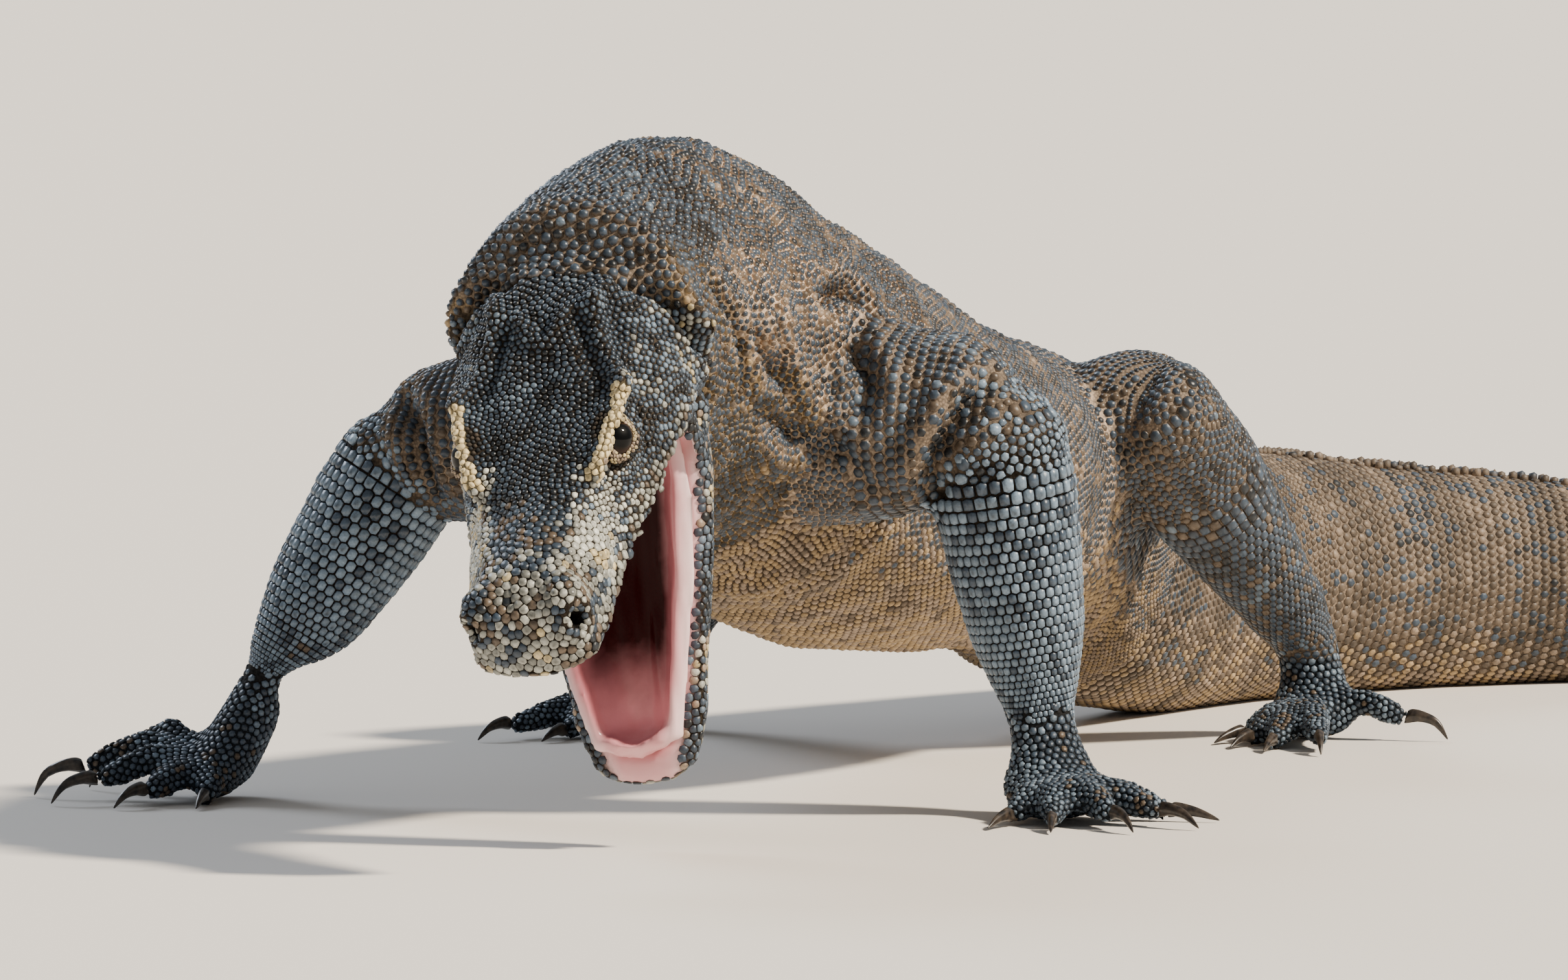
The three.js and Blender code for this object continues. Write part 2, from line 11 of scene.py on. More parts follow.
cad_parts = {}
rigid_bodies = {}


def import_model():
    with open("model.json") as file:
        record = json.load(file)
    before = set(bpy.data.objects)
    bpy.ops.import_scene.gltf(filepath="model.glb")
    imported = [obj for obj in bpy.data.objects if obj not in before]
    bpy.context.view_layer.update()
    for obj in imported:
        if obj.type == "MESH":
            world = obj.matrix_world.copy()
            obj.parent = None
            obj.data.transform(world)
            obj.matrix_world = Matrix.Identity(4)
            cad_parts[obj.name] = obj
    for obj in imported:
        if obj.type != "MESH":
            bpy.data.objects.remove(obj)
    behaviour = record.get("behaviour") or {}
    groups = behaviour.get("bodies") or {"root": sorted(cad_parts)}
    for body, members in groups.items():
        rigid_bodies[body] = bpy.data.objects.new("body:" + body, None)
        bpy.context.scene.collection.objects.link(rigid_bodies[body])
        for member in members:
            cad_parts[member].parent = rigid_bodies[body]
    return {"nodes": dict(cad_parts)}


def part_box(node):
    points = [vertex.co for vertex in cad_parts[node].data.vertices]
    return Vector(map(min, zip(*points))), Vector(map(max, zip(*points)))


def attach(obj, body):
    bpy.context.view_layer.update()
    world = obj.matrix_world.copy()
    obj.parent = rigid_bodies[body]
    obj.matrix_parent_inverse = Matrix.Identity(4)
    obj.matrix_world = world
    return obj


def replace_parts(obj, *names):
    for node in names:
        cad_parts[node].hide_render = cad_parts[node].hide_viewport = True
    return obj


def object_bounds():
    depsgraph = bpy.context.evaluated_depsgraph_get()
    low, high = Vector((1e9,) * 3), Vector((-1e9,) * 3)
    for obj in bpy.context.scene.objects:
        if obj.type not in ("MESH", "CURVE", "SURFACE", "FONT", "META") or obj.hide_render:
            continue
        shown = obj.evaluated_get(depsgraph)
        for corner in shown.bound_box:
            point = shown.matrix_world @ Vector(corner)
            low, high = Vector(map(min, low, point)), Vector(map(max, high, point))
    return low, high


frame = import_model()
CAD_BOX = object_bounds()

bl_info = {
    "name": "Komodo Dragon",
    "version": (1, 0, 0),
    "blender": (4, 5, 0),
    "location": "View3D > Sidebar > Komodo",
    "description": "Dresses the packed komodo dragon with hide, scales, eyes, claws and mouth",
    "category": "Object",
}

MM = 0.001
RUN_STEP = 2.0  # millimetres from one point of the spine's or a limb's line to the next

# ---------------------------------------------------------------- places shared by every piece
# The head's own directions. The frame gives its place, from the left eye.
EYE_OUT, EYE_FORWARD, EYE_UP = 36.0, 97.0, 35.0
HEAD_FORWARD = np.array([-0.095, -0.726, -0.681])
HEAD_FORWARD /= np.linalg.norm(HEAD_FORWARD)
HEAD_LEFT = np.cross([-0.277, -0.638, 0.718], HEAD_FORWARD)
HEAD_LEFT /= np.linalg.norm(HEAD_LEFT)
HEAD_UP = np.cross(HEAD_FORWARD, HEAD_LEFT)
HEAD_AXES = np.array([HEAD_LEFT, HEAD_FORWARD, HEAD_UP])
GAPE = math.radians(47)
JAW_FORWARD = HEAD_FORWARD * math.cos(GAPE) - HEAD_UP * math.sin(GAPE)
JAW_AXES = np.array([HEAD_LEFT, JAW_FORWARD, np.cross(JAW_FORWARD, HEAD_LEFT)])


def middle_of(node):
    low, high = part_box(node)
    return np.array((low + high) / 2)


HEAD_ORIGIN = middle_of("eye_left") - np.array([EYE_OUT, EYE_FORWARD, EYE_UP]) * MM @ HEAD_AXES
JAW_ORIGIN = HEAD_ORIGIN + np.array([0, 4, -10]) * MM @ HEAD_AXES
PART_ORIGIN = HEAD_ORIGIN - np.array([-99, 161, 246]) * MM


def part_points(rows):
    """Points given in the part's own millimetres, as places in the scene."""
    return np.array(rows, float) * MM + PART_ORIGIN


def head_points(rows):
    """Points given as millimetres left, forwards and up in the head."""
    return np.array(rows, float) * MM @ HEAD_AXES + HEAD_ORIGIN


def in_head(points):
    return (points - HEAD_ORIGIN) @ HEAD_AXES.T / MM


def in_half_head(points):
    """Places in the head, with those on its right side brought over to the left."""
    head = in_head(points)
    head[:, 0] = np.abs(head[:, 0])
    return head


def in_jaw(points):
    return (points - JAW_ORIGIN) @ JAW_AXES.T / MM


# The middle line of the neck, trunk and tail, and of each limb from the trunk out, in the part's millimetres.
SPINE = [
    (-106, 132, 262), (-93, 205, 262), (-75, 275, 260), (-55, 352, 250), (-22, 450, 222), (22, 570, 188),
    (72, 690, 162), (118, 800, 139), (160, 900, 112), (212, 1010, 88), (285, 1115, 73), (390, 1200, 65),
    (520, 1243, 57), (680, 1250, 46), (840, 1222, 34.5), (985, 1165, 24), (1110, 1085, 15), (1205, 995, 8),
]
LIMBS = {
    "front_left": [(-8, 372, 206), (108, 342, 203), (134, 352, 46), (140, 324, 13)],
    "front_right": [(-84, 392, 206), (-194, 446, 184), (-272, 440, 62), (-296, 442, 13)],
    "hind_left": [(150, 836, 128), (204, 706, 187), (305, 850, 42), (296, 820, 13)],
    "hind_right": [(88, 862, 128), (-22, 780, 180), (-66, 905, 40), (-80, 876, 13)],
}

FLESH = [
    "head", "neck", "trunk", "tail_base", "tail_middle", "tail_end", "tail_tip", "lower_jaw",
    "upper_arm_left", "forearm_left", "hand_left", "upper_arm_right", "forearm_right", "hand_right",
    "thigh_left", "shank_left", "foot_left", "thigh_right", "shank_right", "foot_right",
]
EYES = ["eye_left", "eye_right"]
TAIL = [FLESH.index(name) for name in FLESH if name.startswith("tail")]
PAWS = [FLESH.index(name) for name in FLESH if name.startswith(("hand", "foot"))]
HEAD, NECK, TRUNK, JAW = (FLESH.index(name) for name in ("head", "neck", "trunk", "lower_jaw"))


def colour(text):
    """A colour's six hexadecimal digits as the linear values that Blender's sockets take."""
    values = np.array([int(text[i:i + 2], 16) for i in (0, 2, 4)]) / 255
    return tuple(np.where(values <= 0.04045, values / 12.92, ((values + 0.055) / 1.055) ** 2.4))


def hue(name, text, description):
    return bpy.props.FloatVectorProperty(
        name=name, description=description, subtype="COLOR", size=3, min=0, max=1, default=colour(text)
    )


def length(name, default, description):
    return bpy.props.FloatProperty(
        name=name, description=description, default=default, min=0, precision=4, subtype="DISTANCE",
        unit="LENGTH",
    )


def strength(name, default, description):
    return bpy.props.FloatProperty(name=name, description=description, default=default, min=0)


class KomodoHide(bpy.types.PropertyGroup):
    """What a user would change on the animal."""

    voxel: length("Voxel", 0.005, "Grain of the hide's mesh")
    coat_depth: length("Coat depth", 0.0012, "How far the hide lies inside the solids, under the scales")
    neck_pitch: length("Neck scale", 0.0064, "Width of a scale on the neck, behind the head")
    trunk_pitch: length("Trunk scale", 0.0046, "Width of a scale on the trunk")
    slate: hue("Slate", "303b47", "Most of the scales of head, neck and limbs")
    coal: hue("Coal", "15191d", "The darkest scales, and the grooves between plates")
    cream: hue("Cream", "e0cc9c", "Brow line and flecks")
    ash: hue("Ash", "b4b5ab", "Pale grey scales of the muzzle and the lit side")
    tan: hue("Tan", "8f7d6a", "Skin between the scales")
    umber: hue("Umber", "564a3d", "Brown scales of the trunk and tail")
    belly: hue("Belly", "9a8361", "Underside and the folds of the throat")
    steel: hue("Steel", "667787", "Plates of the forearm")
    gum: hue("Gum", "f2d3d4", "Lining of the mouth near the lips")
    # Maroon, dimmed in the mouth's lining, paints the shade deep in the mouth over its real maroon flesh.
    maroon: hue("Maroon", "561014", "Depth of the mouth")


class KomodoStage(bpy.types.PropertyGroup):
    """The floor and the light."""

    floor: hue("Floor", "e9e3da", "Pale studio floor")
    key: strength("Key light", 7.2, "Strength of the main light")
    sky: strength("Fill", 0.36, "Strength of the light all round")


# ---------------------------------------------------------------- helpers
def smooth_path(points, step=RUN_STEP * MM):
    """Evenly spaced points on a smooth line through the given ones."""
    points = np.asarray(points, float)
    points = np.concatenate([[2 * points[0] - points[1]], points, [2 * points[-1] - points[-2]]])
    line = []
    for a, b, c, d in zip(points, points[1:], points[2:], points[3:]):
        t1 = np.linalg.norm(b - a) ** 0.5
        t2 = t1 + np.linalg.norm(c - b) ** 0.5
        t3 = t2 + np.linalg.norm(d - c) ** 0.5
        s = np.linspace(t1, t2, 24, endpoint=False)[:, None]
        first = (t1 - s) / t1 * a + s / t1 * b
        second = (t2 - s) / (t2 - t1) * b + (s - t1) / (t2 - t1) * c
        third = (t3 - s) / (t3 - t2) * c + (s - t2) / (t3 - t2) * d
        early = (t2 - s) / t2 * first + s / t2 * second
        late = (t3 - s) / (t3 - t1) * second + (s - t1) / (t3 - t1) * third
        line.extend((t2 - s) / (t2 - t1) * early + (s - t1) / (t2 - t1) * late)
    line = np.array([*line, points[-2]])
    run = np.concatenate([[0], np.cumsum(np.linalg.norm(np.diff(line, axis=0), axis=1))])
    even = np.linspace(0, run[-1], max(2, int(run[-1] / step) + 1))
    return np.stack([np.interp(even, run, line[:, i]) for i in range(3)], axis=1)


def unit(vectors):
    return vectors / np.maximum(np.linalg.norm(vectors, axis=-1, keepdims=True), 1e-12)


def path_frames(line, up):
    """The way along a line, and the sideways and upright directions at each of its points."""
    along = unit(np.gradient(line, axis=0))
    upright = unit(up - (along @ up)[:, None] * along)
    return along, np.cross(upright, along), upright


def blend_step(value, low, high):
    share = np.clip((value - low) / (high - low), 0, 1)
    return share * share * (3 - 2 * share)


def noise_at(points, size, seed=0):
    """Smooth noise from -1 to 1, with lumps of the given size."""
    shift = Vector((seed * 7.3, seed * 3.1, seed * 5.7))
    return np.array([noise.noise(Vector(p) / size + shift) for p in points])


def point_tree(points):
    tree = KDTree(len(points))
    for index, point in enumerate(points):
        tree.insert(point, index)
    tree.balance()
    return tree


def distance_to_line(points, line):
    """How far each point is from a fine line, and the step along it that is nearest."""
    tree = point_tree(line)
    found = [tree.find(point) for point in points]
    return np.array([f[2] for f in found]), np.array([f[1] for f in found])


def step_near(line, point):
    """The step along a line that is nearest to a point given in the part's millimetres."""
    return int(np.linalg.norm(line - part_points(point), axis=1).argmin())


def values_of(data, key, width=1, kind=np.float64):
    """One number, or one row of them, from each item of Blender's data."""
    values = np.empty(len(data) * width, kind)
    data.foreach_get(key, values)
    return values.reshape(-1, width) if width > 1 else values


def mesh_arrays(mesh):
    return values_of(mesh.vertices, "co", 3), values_of(mesh.vertices, "normal", 3)


def keep_values(mesh, name, values):
    """Keeps one number for each point of a mesh, or one colour."""
    if np.ndim(values) == 1:
        mesh.attributes.new(name, "FLOAT", "POINT").data.foreach_set("value", values)
        return
    paint = np.ones((len(values), 4))
    paint[:, :3] = np.clip(values, 0, 1)
    mesh.attributes.new(name, "FLOAT_COLOR", "POINT").data.foreach_set("color", paint.ravel())


def write_places(mesh, co):
    mesh.vertices.foreach_set("co", co.ravel())
    mesh.update()


def add_piece(name, mesh, slot, *materials):
    """Puts a mesh in the scene as a piece of the animal."""
    piece = bpy.data.objects.new(name, mesh)
    bpy.context.scene.collection.objects.link(piece)
    for material in materials:
        mesh.materials.append(material)
    mesh.shade_smooth()
    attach(piece, "root")
    return piece


def merged_copy(names):
    """One bmesh with merged copies of the named CAD nodes."""
    bm = bmesh.new()
    for name in names:
        bm.from_mesh(frame["nodes"][name].data)
    bmesh.ops.remove_doubles(bm, verts=bm.verts, dist=1e-5)
    return bm


def remeshed(bm, voxel):
    """The bmesh's outer shape as one even mesh."""
    rough = bpy.data.meshes.new("rough")
    bm.to_mesh(rough)
    bm.free()
    carrier = bpy.data.objects.new("rough", rough)
    bpy.context.scene.collection.objects.link(carrier)
    grain = carrier.modifiers.new("grain", "REMESH")
    grain.mode = "VOXEL"
    grain.voxel_size = voxel
    bpy.context.view_layer.update()
    even = bpy.data.meshes.new_from_object(carrier.evaluated_get(bpy.context.evaluated_depsgraph_get()))
    bpy.data.objects.remove(carrier)
    bpy.data.meshes.remove(rough)
    return even


def edge_pairs(mesh):
    return values_of(mesh.edges, "vertices", 2, np.int64)


def relaxed(co, pairs, share, rounds, hold=-0.53):
    """Smooths places. share is each point's own strength, and hold below 0 keeps the form from shrinking."""
    count = len(co)
    ends = np.concatenate([pairs, pairs[:, ::-1]])
    degree = np.bincount(ends[:, 0], minlength=count)[:, None]
    for turn in range(rounds * 2):
        total = np.stack([np.bincount(ends[:, 0], co[ends[:, 1], i], count) for i in range(3)], axis=1)
        co = co + (0.5 if turn % 2 == 0 else hold) * share[:, None] * (total / degree - co)
    return co


def surface_tree(names):
    """A search tree over CAD nodes, and the index of the node that each of its faces belongs to."""
    points, faces, owner = [], [], []
    for index, name in enumerate(names):
        mesh = frame["nodes"][name].data
        base = len(points)
        points.extend(v.co.copy() for v in mesh.vertices)
        faces.extend([base + i for i in face.vertices] for face in mesh.polygons)
        owner.extend([index] * len(mesh.polygons))
    return BVHTree.FromPolygons(points, faces), np.array(owner)


def labels_of(points, names):
    """Which of the named nodes each point is nearest to."""
    tree, owner = surface_tree(names)
    return owner[[tree.find_nearest(point)[2] for point in points]]


# ---------------------------------------------------------------- the animal's lines
Y, Z = np.array([[0.0, 1.0, 0.0], [0.0, 0.0, 1.0]])
SPINE_LINE = smooth_path(part_points(SPINE))
SPINE_SIDE, SPINE_UPRIGHT = path_frames(SPINE_LINE, Z)[1:]
LIMB_LINES = {name: smooth_path(part_points(joints)) for name, joints in LIMBS.items()}
# The head's half width at places along it, both in millimetres.
SKULL_WIDTH = ([-34, 0, 30, 60, 90, 120, 155, 185, 204, 220], [49, 60, 63, 61, 54, 47, 40, 37, 35, 23])
HIDE_NODES = [*FLESH, "cheek_web_left", "cheek_web_right"]
WEBS = [HIDE_NODES.index("cheek_web_left"), HIDE_NODES.index("cheek_web_right")]

# Low swellings and hollows of the head: place, spread and height in millimetres. Both sides have them.
HEAD_FORMS = [
    ((0, 72, 58), (17, 42, 24), -5.0),  # hollow of the crown between the brows
    ((27, 20, 62), (10, 11, 14), 4.5),  # rear bumps of the skull
    ((54, 40, 20), (14, 22, 18), 3.6),  # jaw muscle behind the corner of the mouth
    ((46, 58, 36), (11, 11, 12), -2.8),  # hollow behind the eye
    ((39, 124, 25), (8, 13, 9), -2.6),  # hollow of the cheek before the eye
    ((23, 196, 30), (9, 11, 10), 1.8),  # swelling over the nostril
    ((6, 202, 38), (6, 22, 12), -2.4),  # groove between the nostrils
    ((0, 150, 46), (10, 20, 12), 1.6),  # bridge of the snout
    ((35, 162, 24), (12, 22, 16), 2.6),  # side of the snout
]
BROW = [(43, 70, 48), (42, 87, 50), (40, 98, 49), (37, 109, 46), (34, 118, 42), (31, 124, 39)]
SNOUT_EDGE = [(32, 120, 38), (27, 135, 38), (23, 160, 37), (18, 182, 39), (19, 198, 37)]
# Lines along the head: points, half breadth and height in millimetres. Both sides have them.
HEAD_LINES = [
    (BROW, 3.6, 3.0),
    ([(42, 74, 49), (34, 55, 50), (29, 41, 56), (25, 25, 60), (30, 8, 58)], 4.2, 4.8),  # edge of the crown
    ([(36, 84, 54), (27, 60, 54), (22, 42, 58), (18, 28, 62)], 4.0, -3.0),  # hollow beside that edge
    ([(38, 36, 50), (33, 20, 56)], 5.0, -2.8),  # hollow of the temple beside the rear bump
    ([(25, 25, 60), (14, 30, 62), (4, 45, 60), (0, 47, 60)], 4.0, 3.8),  # ridge across the crown
    (SNOUT_EDGE, 4.0, 2.0),
    ([(45, 71, 31), (47, 79, 24), (47, 88, 18), (45, 98, 15), (42, 109, 17)], 1.8, -1.7),  # fold under eye
    ([(34, 116, 31), (38, 117, 25), (42, 112, 19)], 1.9, -2.2),  # fold before eye
    ([(47, 66, 40), (54, 40, 38), (60, 16, 33)], 4.0, 1.6),  # fold from the eye to the ear
    ([(53, 2, 28), (55, 8, 20), (60, 14, 8)], 4.2, -6.5),  # the ear's hollow
    ([(44, -10, 42), (54, -7, 32), (62, -3, 19), (61, -10, -8), (58, -16, -22)], 4.5, 4.0),  # roll behind ear
    ([(50, 70, 10), (42, 115, 9), (35, 165, 9), (31, 195, 9)], 2.4, -1.2),  # groove over the lip
]
EAR = (np.array([56, 8, 19]), np.array([6, 9, 12]))  # place and spread in the head
NOSTRIL = [(33, 209, 31), (20, 199, 15)]  # the line of the hole from outside in
# Folds of the skin in the part's millimetres: points, half breadth and depth. Both sides have them.
FOLDS = [
    ([(-78, 118, 283), (-62, 128, 277), (-48, 134, 263), (-40, 152, 243), (-37, 184, 222)], 5.0, 5.0),
    ([(-36, 177, 284), (-30, 188, 275), (-24, 195, 261), (-19, 213, 247), (-18, 224, 227)], 5.5, 5.5),
    ([(-15, 221, 262), (-8, 242, 244), (-2, 259, 231), (5, 274, 224), (10, 290, 210)], 6.0, 6.0),
    ([(-7, 246, 272), (-3, 250, 255), (2, 264, 238), (8, 280, 224)], 5.0, 4.0),
    ([(22, 312, 270), (33, 342, 273), (43, 359, 267), (48, 363, 255)], 6.0, 5.5),
    ([(36, 334, 256), (38, 323, 242), (42, 310, 225), (40, 300, 205)], 6.0, 5.0),
    ([(106, 314, 224), (96, 306, 213), (86, 303, 200), (80, 306, 184), (79, 322, 168)], 6.5, 6.5),
    ([(-8, 255, 213), (7, 292, 198), (30, 310, 188), (44, 320, 174)], 7.0, 5.0),
]


def mirrored_over_spine(points):
    """The same points on the other side of the upright plane along the spine."""
    place = np.linalg.norm(points[:, None] - SPINE_LINE[None], axis=2).argmin(axis=1)
    reach = ((points - SPINE_LINE[place]) * SPINE_SIDE[place]).sum(axis=1, keepdims=True)
    return points - 2 * reach * SPINE_SIDE[place]


def refine(mesh, zones):
    """Halves the mesh's edges inside each zone in turn. A zone tells which of the given points it holds."""
    bm = bmesh.new()
    bm.from_mesh(mesh)
    for zone in zones:
        bm.verts.ensure_lookup_table()
        held = zone(np.array([v.co for v in bm.verts]))
        edges = [e for e in bm.edges if held[e.verts[0].index] and held[e.verts[1].index]]
        bmesh.ops.subdivide_edges(bm, edges=edges, cuts=1, use_grid_fill=True)
        bm.verts.index_update()
    bm.to_mesh(mesh)
    bm.free()


def in_head_zone(points):
    return np.isin(labels_of(points, HIDE_NODES), [HEAD, JAW, *WEBS])


def in_face_zone(points):
    head = in_half_head(points)
    eye = np.linalg.norm(head - [EYE_OUT + 4, EYE_FORWARD, EYE_UP], axis=1) < 21
    return eye | (nostril_distance(head) < 13)


EYE_RADIUS = 10.5
EYE_LOOK = np.array([0.69, 0.41, 0.6]) / np.linalg.norm([0.69, 0.41, 0.6])
OPENING = (7.0, 5.5)  # half length and half height between the lids
LID_THICKNESS = 2.0


def eye_view(head):
    """Places of the head along the lids, across them and out of the nearer eye, in millimetres."""
    local = head.copy()
    local[:, 0] = np.abs(local[:, 0])
    local -= [EYE_OUT, EYE_FORWARD, EYE_UP]
    lengthways = np.array([-0.05, 1.0, -0.12])
    lengthways -= EYE_LOOK * (lengthways @ EYE_LOOK)
    lengthways /= np.linalg.norm(lengthways)
    return np.stack([local @ lengthways, local @ np.cross(lengthways, EYE_LOOK), local @ EYE_LOOK], axis=1)


def lid_share(head):
    """How far from the eye's middle places of the head are: under 1 is the opening between the lids."""
    view = eye_view(head)
    share = np.sqrt((view[:, 0] / OPENING[0]) ** 2 + (view[:, 1] / OPENING[1]) ** 2)
    reach = np.linalg.norm(view, axis=1)
    return np.where((view[:, 2] > 0) & (reach < 26), share, 9.0)


def with_lids(co):
    """Draws the hide in to the eyeball, as lids round an opening."""
    head = in_head(co)
    share = lid_share(head)
    over = blend_step(-eye_view(head)[:, 1], 1.0, 5.0)  # 1 on the side of the brow
    centre = np.array([EYE_OUT, EYE_FORWARD, EYE_UP]) * np.where(head[:, :1] < 0, [-1, 1, 1], [1, 1, 1])
    out = head - centre
    reach = np.linalg.norm(out, axis=1)
    rim = EYE_RADIUS + LID_THICKNESS * blend_step(share, 1.0, 1.16)
    lids = rim + (1 - over) * 0.95 * np.sin((share - 1.3) * 15) * blend_step(share, 1.15, 1.4)
    target = lids + (np.maximum(reach, lids) - lids) * blend_step(share, 1.4 - 0.28 * over, 2.4 - 0.9 * over)
    target = np.where(share < 1.0, EYE_RADIUS - 2.2, target)
    near = share < 8
    head[near] = (centre + out / reach[:, None] * target[:, None])[near]
    return head * MM @ HEAD_AXES + HEAD_ORIGIN


def nostril_distance(half):
    """How far places of the head's left half are from the middle of the nostril's hole, in millimetres."""
    return distance_to_line(half, smooth_path(NOSTRIL, 1.0))[0]


def ear_distance(half):
    """How far places of the head's left half are from the middle of the ear's hollow. 1 is its rim."""
    return np.linalg.norm((half - EAR[0]) / EAR[1], axis=1)


def sculpted_head(co, normal):
    """How far each point of the head moves out, in millimetres."""
    half = in_half_head(co)
    rise = np.zeros(len(co))
    for centre, spread, height in HEAD_FORMS:
        rise += height * np.exp(-(((half - centre) / spread) ** 2).sum(axis=1))
    for points, breadth, height in HEAD_LINES:
        distance, _ = distance_to_line(half, smooth_path(points, 1.0))
        rise += height * np.exp(-((distance / breadth) ** 2))
    nostril = nostril_distance(half)
    rise += 1.6 * np.exp(-(((nostril - 7.5) / 2.4) ** 2)) - 9 * np.exp(-((nostril / 4.6) ** 4))
    return rise * blend_step(half[:, 2] + 8 * (normal @ HEAD_UP), -8, 6)


def sculpted_folds(co):
    rise = np.zeros(len(co))
    for points, breadth, depth in FOLDS:
        marks = part_points(points)
        for side in (marks, mirrored_over_spine(marks)):
            way = smooth_path(np.array([co[np.linalg.norm(co - mark, axis=1).argmin()] for mark in side]))
            distance, place = distance_to_line(co, way)
            distance = distance / MM
            fade = np.sin(np.clip(place / (len(way) - 1), 0.04, 0.96) * math.pi) ** 0.5
            rise -= fade * 2.2 * depth * np.exp(-((distance / (0.85 * breadth)) ** 2))
            rise += fade * 0.9 * depth * np.exp(-(((distance - 2.1 * breadth) / (1.1 * breadth)) ** 2))
    return rise


def wrinkles(co, labels, place):
    """Small folds across the body, in millimetres."""
    run = place * RUN_STEP
    across = [(co * way[place]).sum(axis=1) for way in (SPINE_SIDE, SPINE_UPRIGHT)]
    folds = noise_at(np.stack([run / 26, across[0] / 0.09, across[1] / 0.09], axis=1), 1.0, 3)
    lumps = noise_at(co, 0.05, 4)
    top = blend_step(co[:, 2], 0.27, 0.33)
    deep = np.interp(run, [0, 60, 120, 300, 500, 760, 900], [0.5, 2, 4.5, 4.5, 3.0, 2.5, 0.5])
    deep = deep * (1 - 0.8 * top)
    return np.where(np.isin(labels, [NECK, TRUNK, *TAIL]), deep * folds + 1.2 * lumps, 0)


def inside_mouth(co, normal, labels):
    """1 where the hide lines the mouth, 0 outside it."""
    head, jaw = in_head(co), in_jaw(co)
    width = np.interp(head[:, 1], *SKULL_WIDTH)
    inward_head = -(normal @ HEAD_LEFT) * np.sign(head[:, 0])
    under = ((normal @ HEAD_UP) < -0.3) | (inward_head > 0.3)
    palate = under & (head[:, 2] < 22) & (head[:, 1] > 22) & (np.abs(head[:, 0]) < width - 4.5)
    palate &= ~((head[:, 1] > 186) & (head[:, 2] > 0)) & (head[:, 1] < 202)
    floor = (((normal @ JAW_AXES[2]) > 0.3) | (inward_head > 0.3)) & (jaw[:, 2] > -22) & (jaw[:, 1] > 2)
    floor &= np.abs(jaw[:, 0]) < np.interp(jaw[:, 1], [0, 60, 104, 156, 208], [46, 47, 40, 30, 15])
    web = np.isin(labels, WEBS) & (inward_head > -0.35)
    return np.where(labels == HEAD, palate, np.where(labels == JAW, floor, web)).astype(float)


def mouth_paint(look, co, above):
    """The mouth lining's colour: pale gums, rose walls and a depth darkened to dim maroon, which is painted
    shade deep in the mouth and under the palate. above is True on the palate.
    """
    head, jaw = in_head(co), in_jaw(co)
    wall = np.interp(jaw[:, 1], [0, 60, 104, 156, 208], [44, 48, 42, 33, 19])
    blotch = 0.1 * noise_at(co, 0.012, 6) + 0.05 * noise_at(co, 0.003, 8)
    inner = np.where(above, 0.6 + blend_step(head[:, 1], 205, 150), np.abs(jaw[:, 0]) / wall)
    depth = np.where(above, 1.0, 1 - 0.75 * blend_step(jaw[:, 1], 120, 195))
    inner = np.where(above, inner, 1.9 * blend_step(inner, 1.0, 0.45)) * depth + blotch
    gum, maroon = np.array(look.gum), np.array(look.maroon)
    rose = gum * [0.72, 0.33, 0.38]
    paint = gum + (rose - gum) * np.clip(inner * 1.4, 0, 1)[:, None]
    # Painted shade: the lining darkens towards maroon at 0.22 of its brightness far back in the mouth, in the
    # middle of its floor and at the back of the palate.
    return paint + (maroon * 0.22 - paint) * np.clip(inner - 0.75, 0, 1)[:, None]


def mouth_folds(co):
    """Soft folds along the lining, in millimetres."""
    jaw = in_jaw(co)
    return 1.4 * noise_at(jaw / [6, 50, 9], 1.0, 7) + 0.4 * noise_at(jaw / [3, 20, 4], 1.0, 9)


def build_hide(settings):
    mesh = remeshed(merged_copy([*HIDE_NODES, *EYES]), settings.voxel)
    refine(mesh, [in_head_zone, in_face_zone])
    co, _ = mesh_arrays(mesh)
    pairs = edge_pairs(mesh)
    labels = labels_of(co, HIDE_NODES)
    softness = np.full(len(HIDE_NODES), 0.9)
    softness[[HEAD, JAW, *WEBS]] = 0.8
    softness[PAWS] = 0.25
    co = relaxed(co, pairs, softness[labels], 26)
    wrists = part_points([joints[2] for joints in LIMBS.values()])
    near = np.linalg.norm(co[:, None] - wrists[None], axis=2).min(axis=1)
    co = relaxed(co, pairs, 0.8 * blend_step(near, 0.06, 0.025), 60, hold=0.0)
    write_places(mesh, co)
    co, normal = mesh_arrays(mesh)
    head_zone = in_head_zone(co)
    rise = np.zeros(len(co))
    rise[head_zone] += sculpted_head(co[head_zone], normal[head_zone])
    front = co[:, 1] < part_points([(0, 420, 0)])[0, 1]
    rise[front] += sculpted_folds(co[front])
    _, place = distance_to_line(co, SPINE_LINE)
    rise += wrinkles(co, labels, place)
    co = co + normal * (rise * MM - settings.coat_depth)[:, None]
    write_places(mesh, co)
    co[head_zone] = with_lids(co[head_zone])
    ceiling = CAD_BOX[1].z - 0.003
    co[:, 2] = ceiling - 0.002 * np.log1p(np.exp((ceiling - co[:, 2]) / 0.002))
    co[:, 2] = np.maximum(co[:, 2], 0.0003)
    write_places(mesh, co)
    region = mesh.attributes.new("region", "INT", "POINT")
    region.data.foreach_set("value", labels.astype(np.int32))
    return mesh


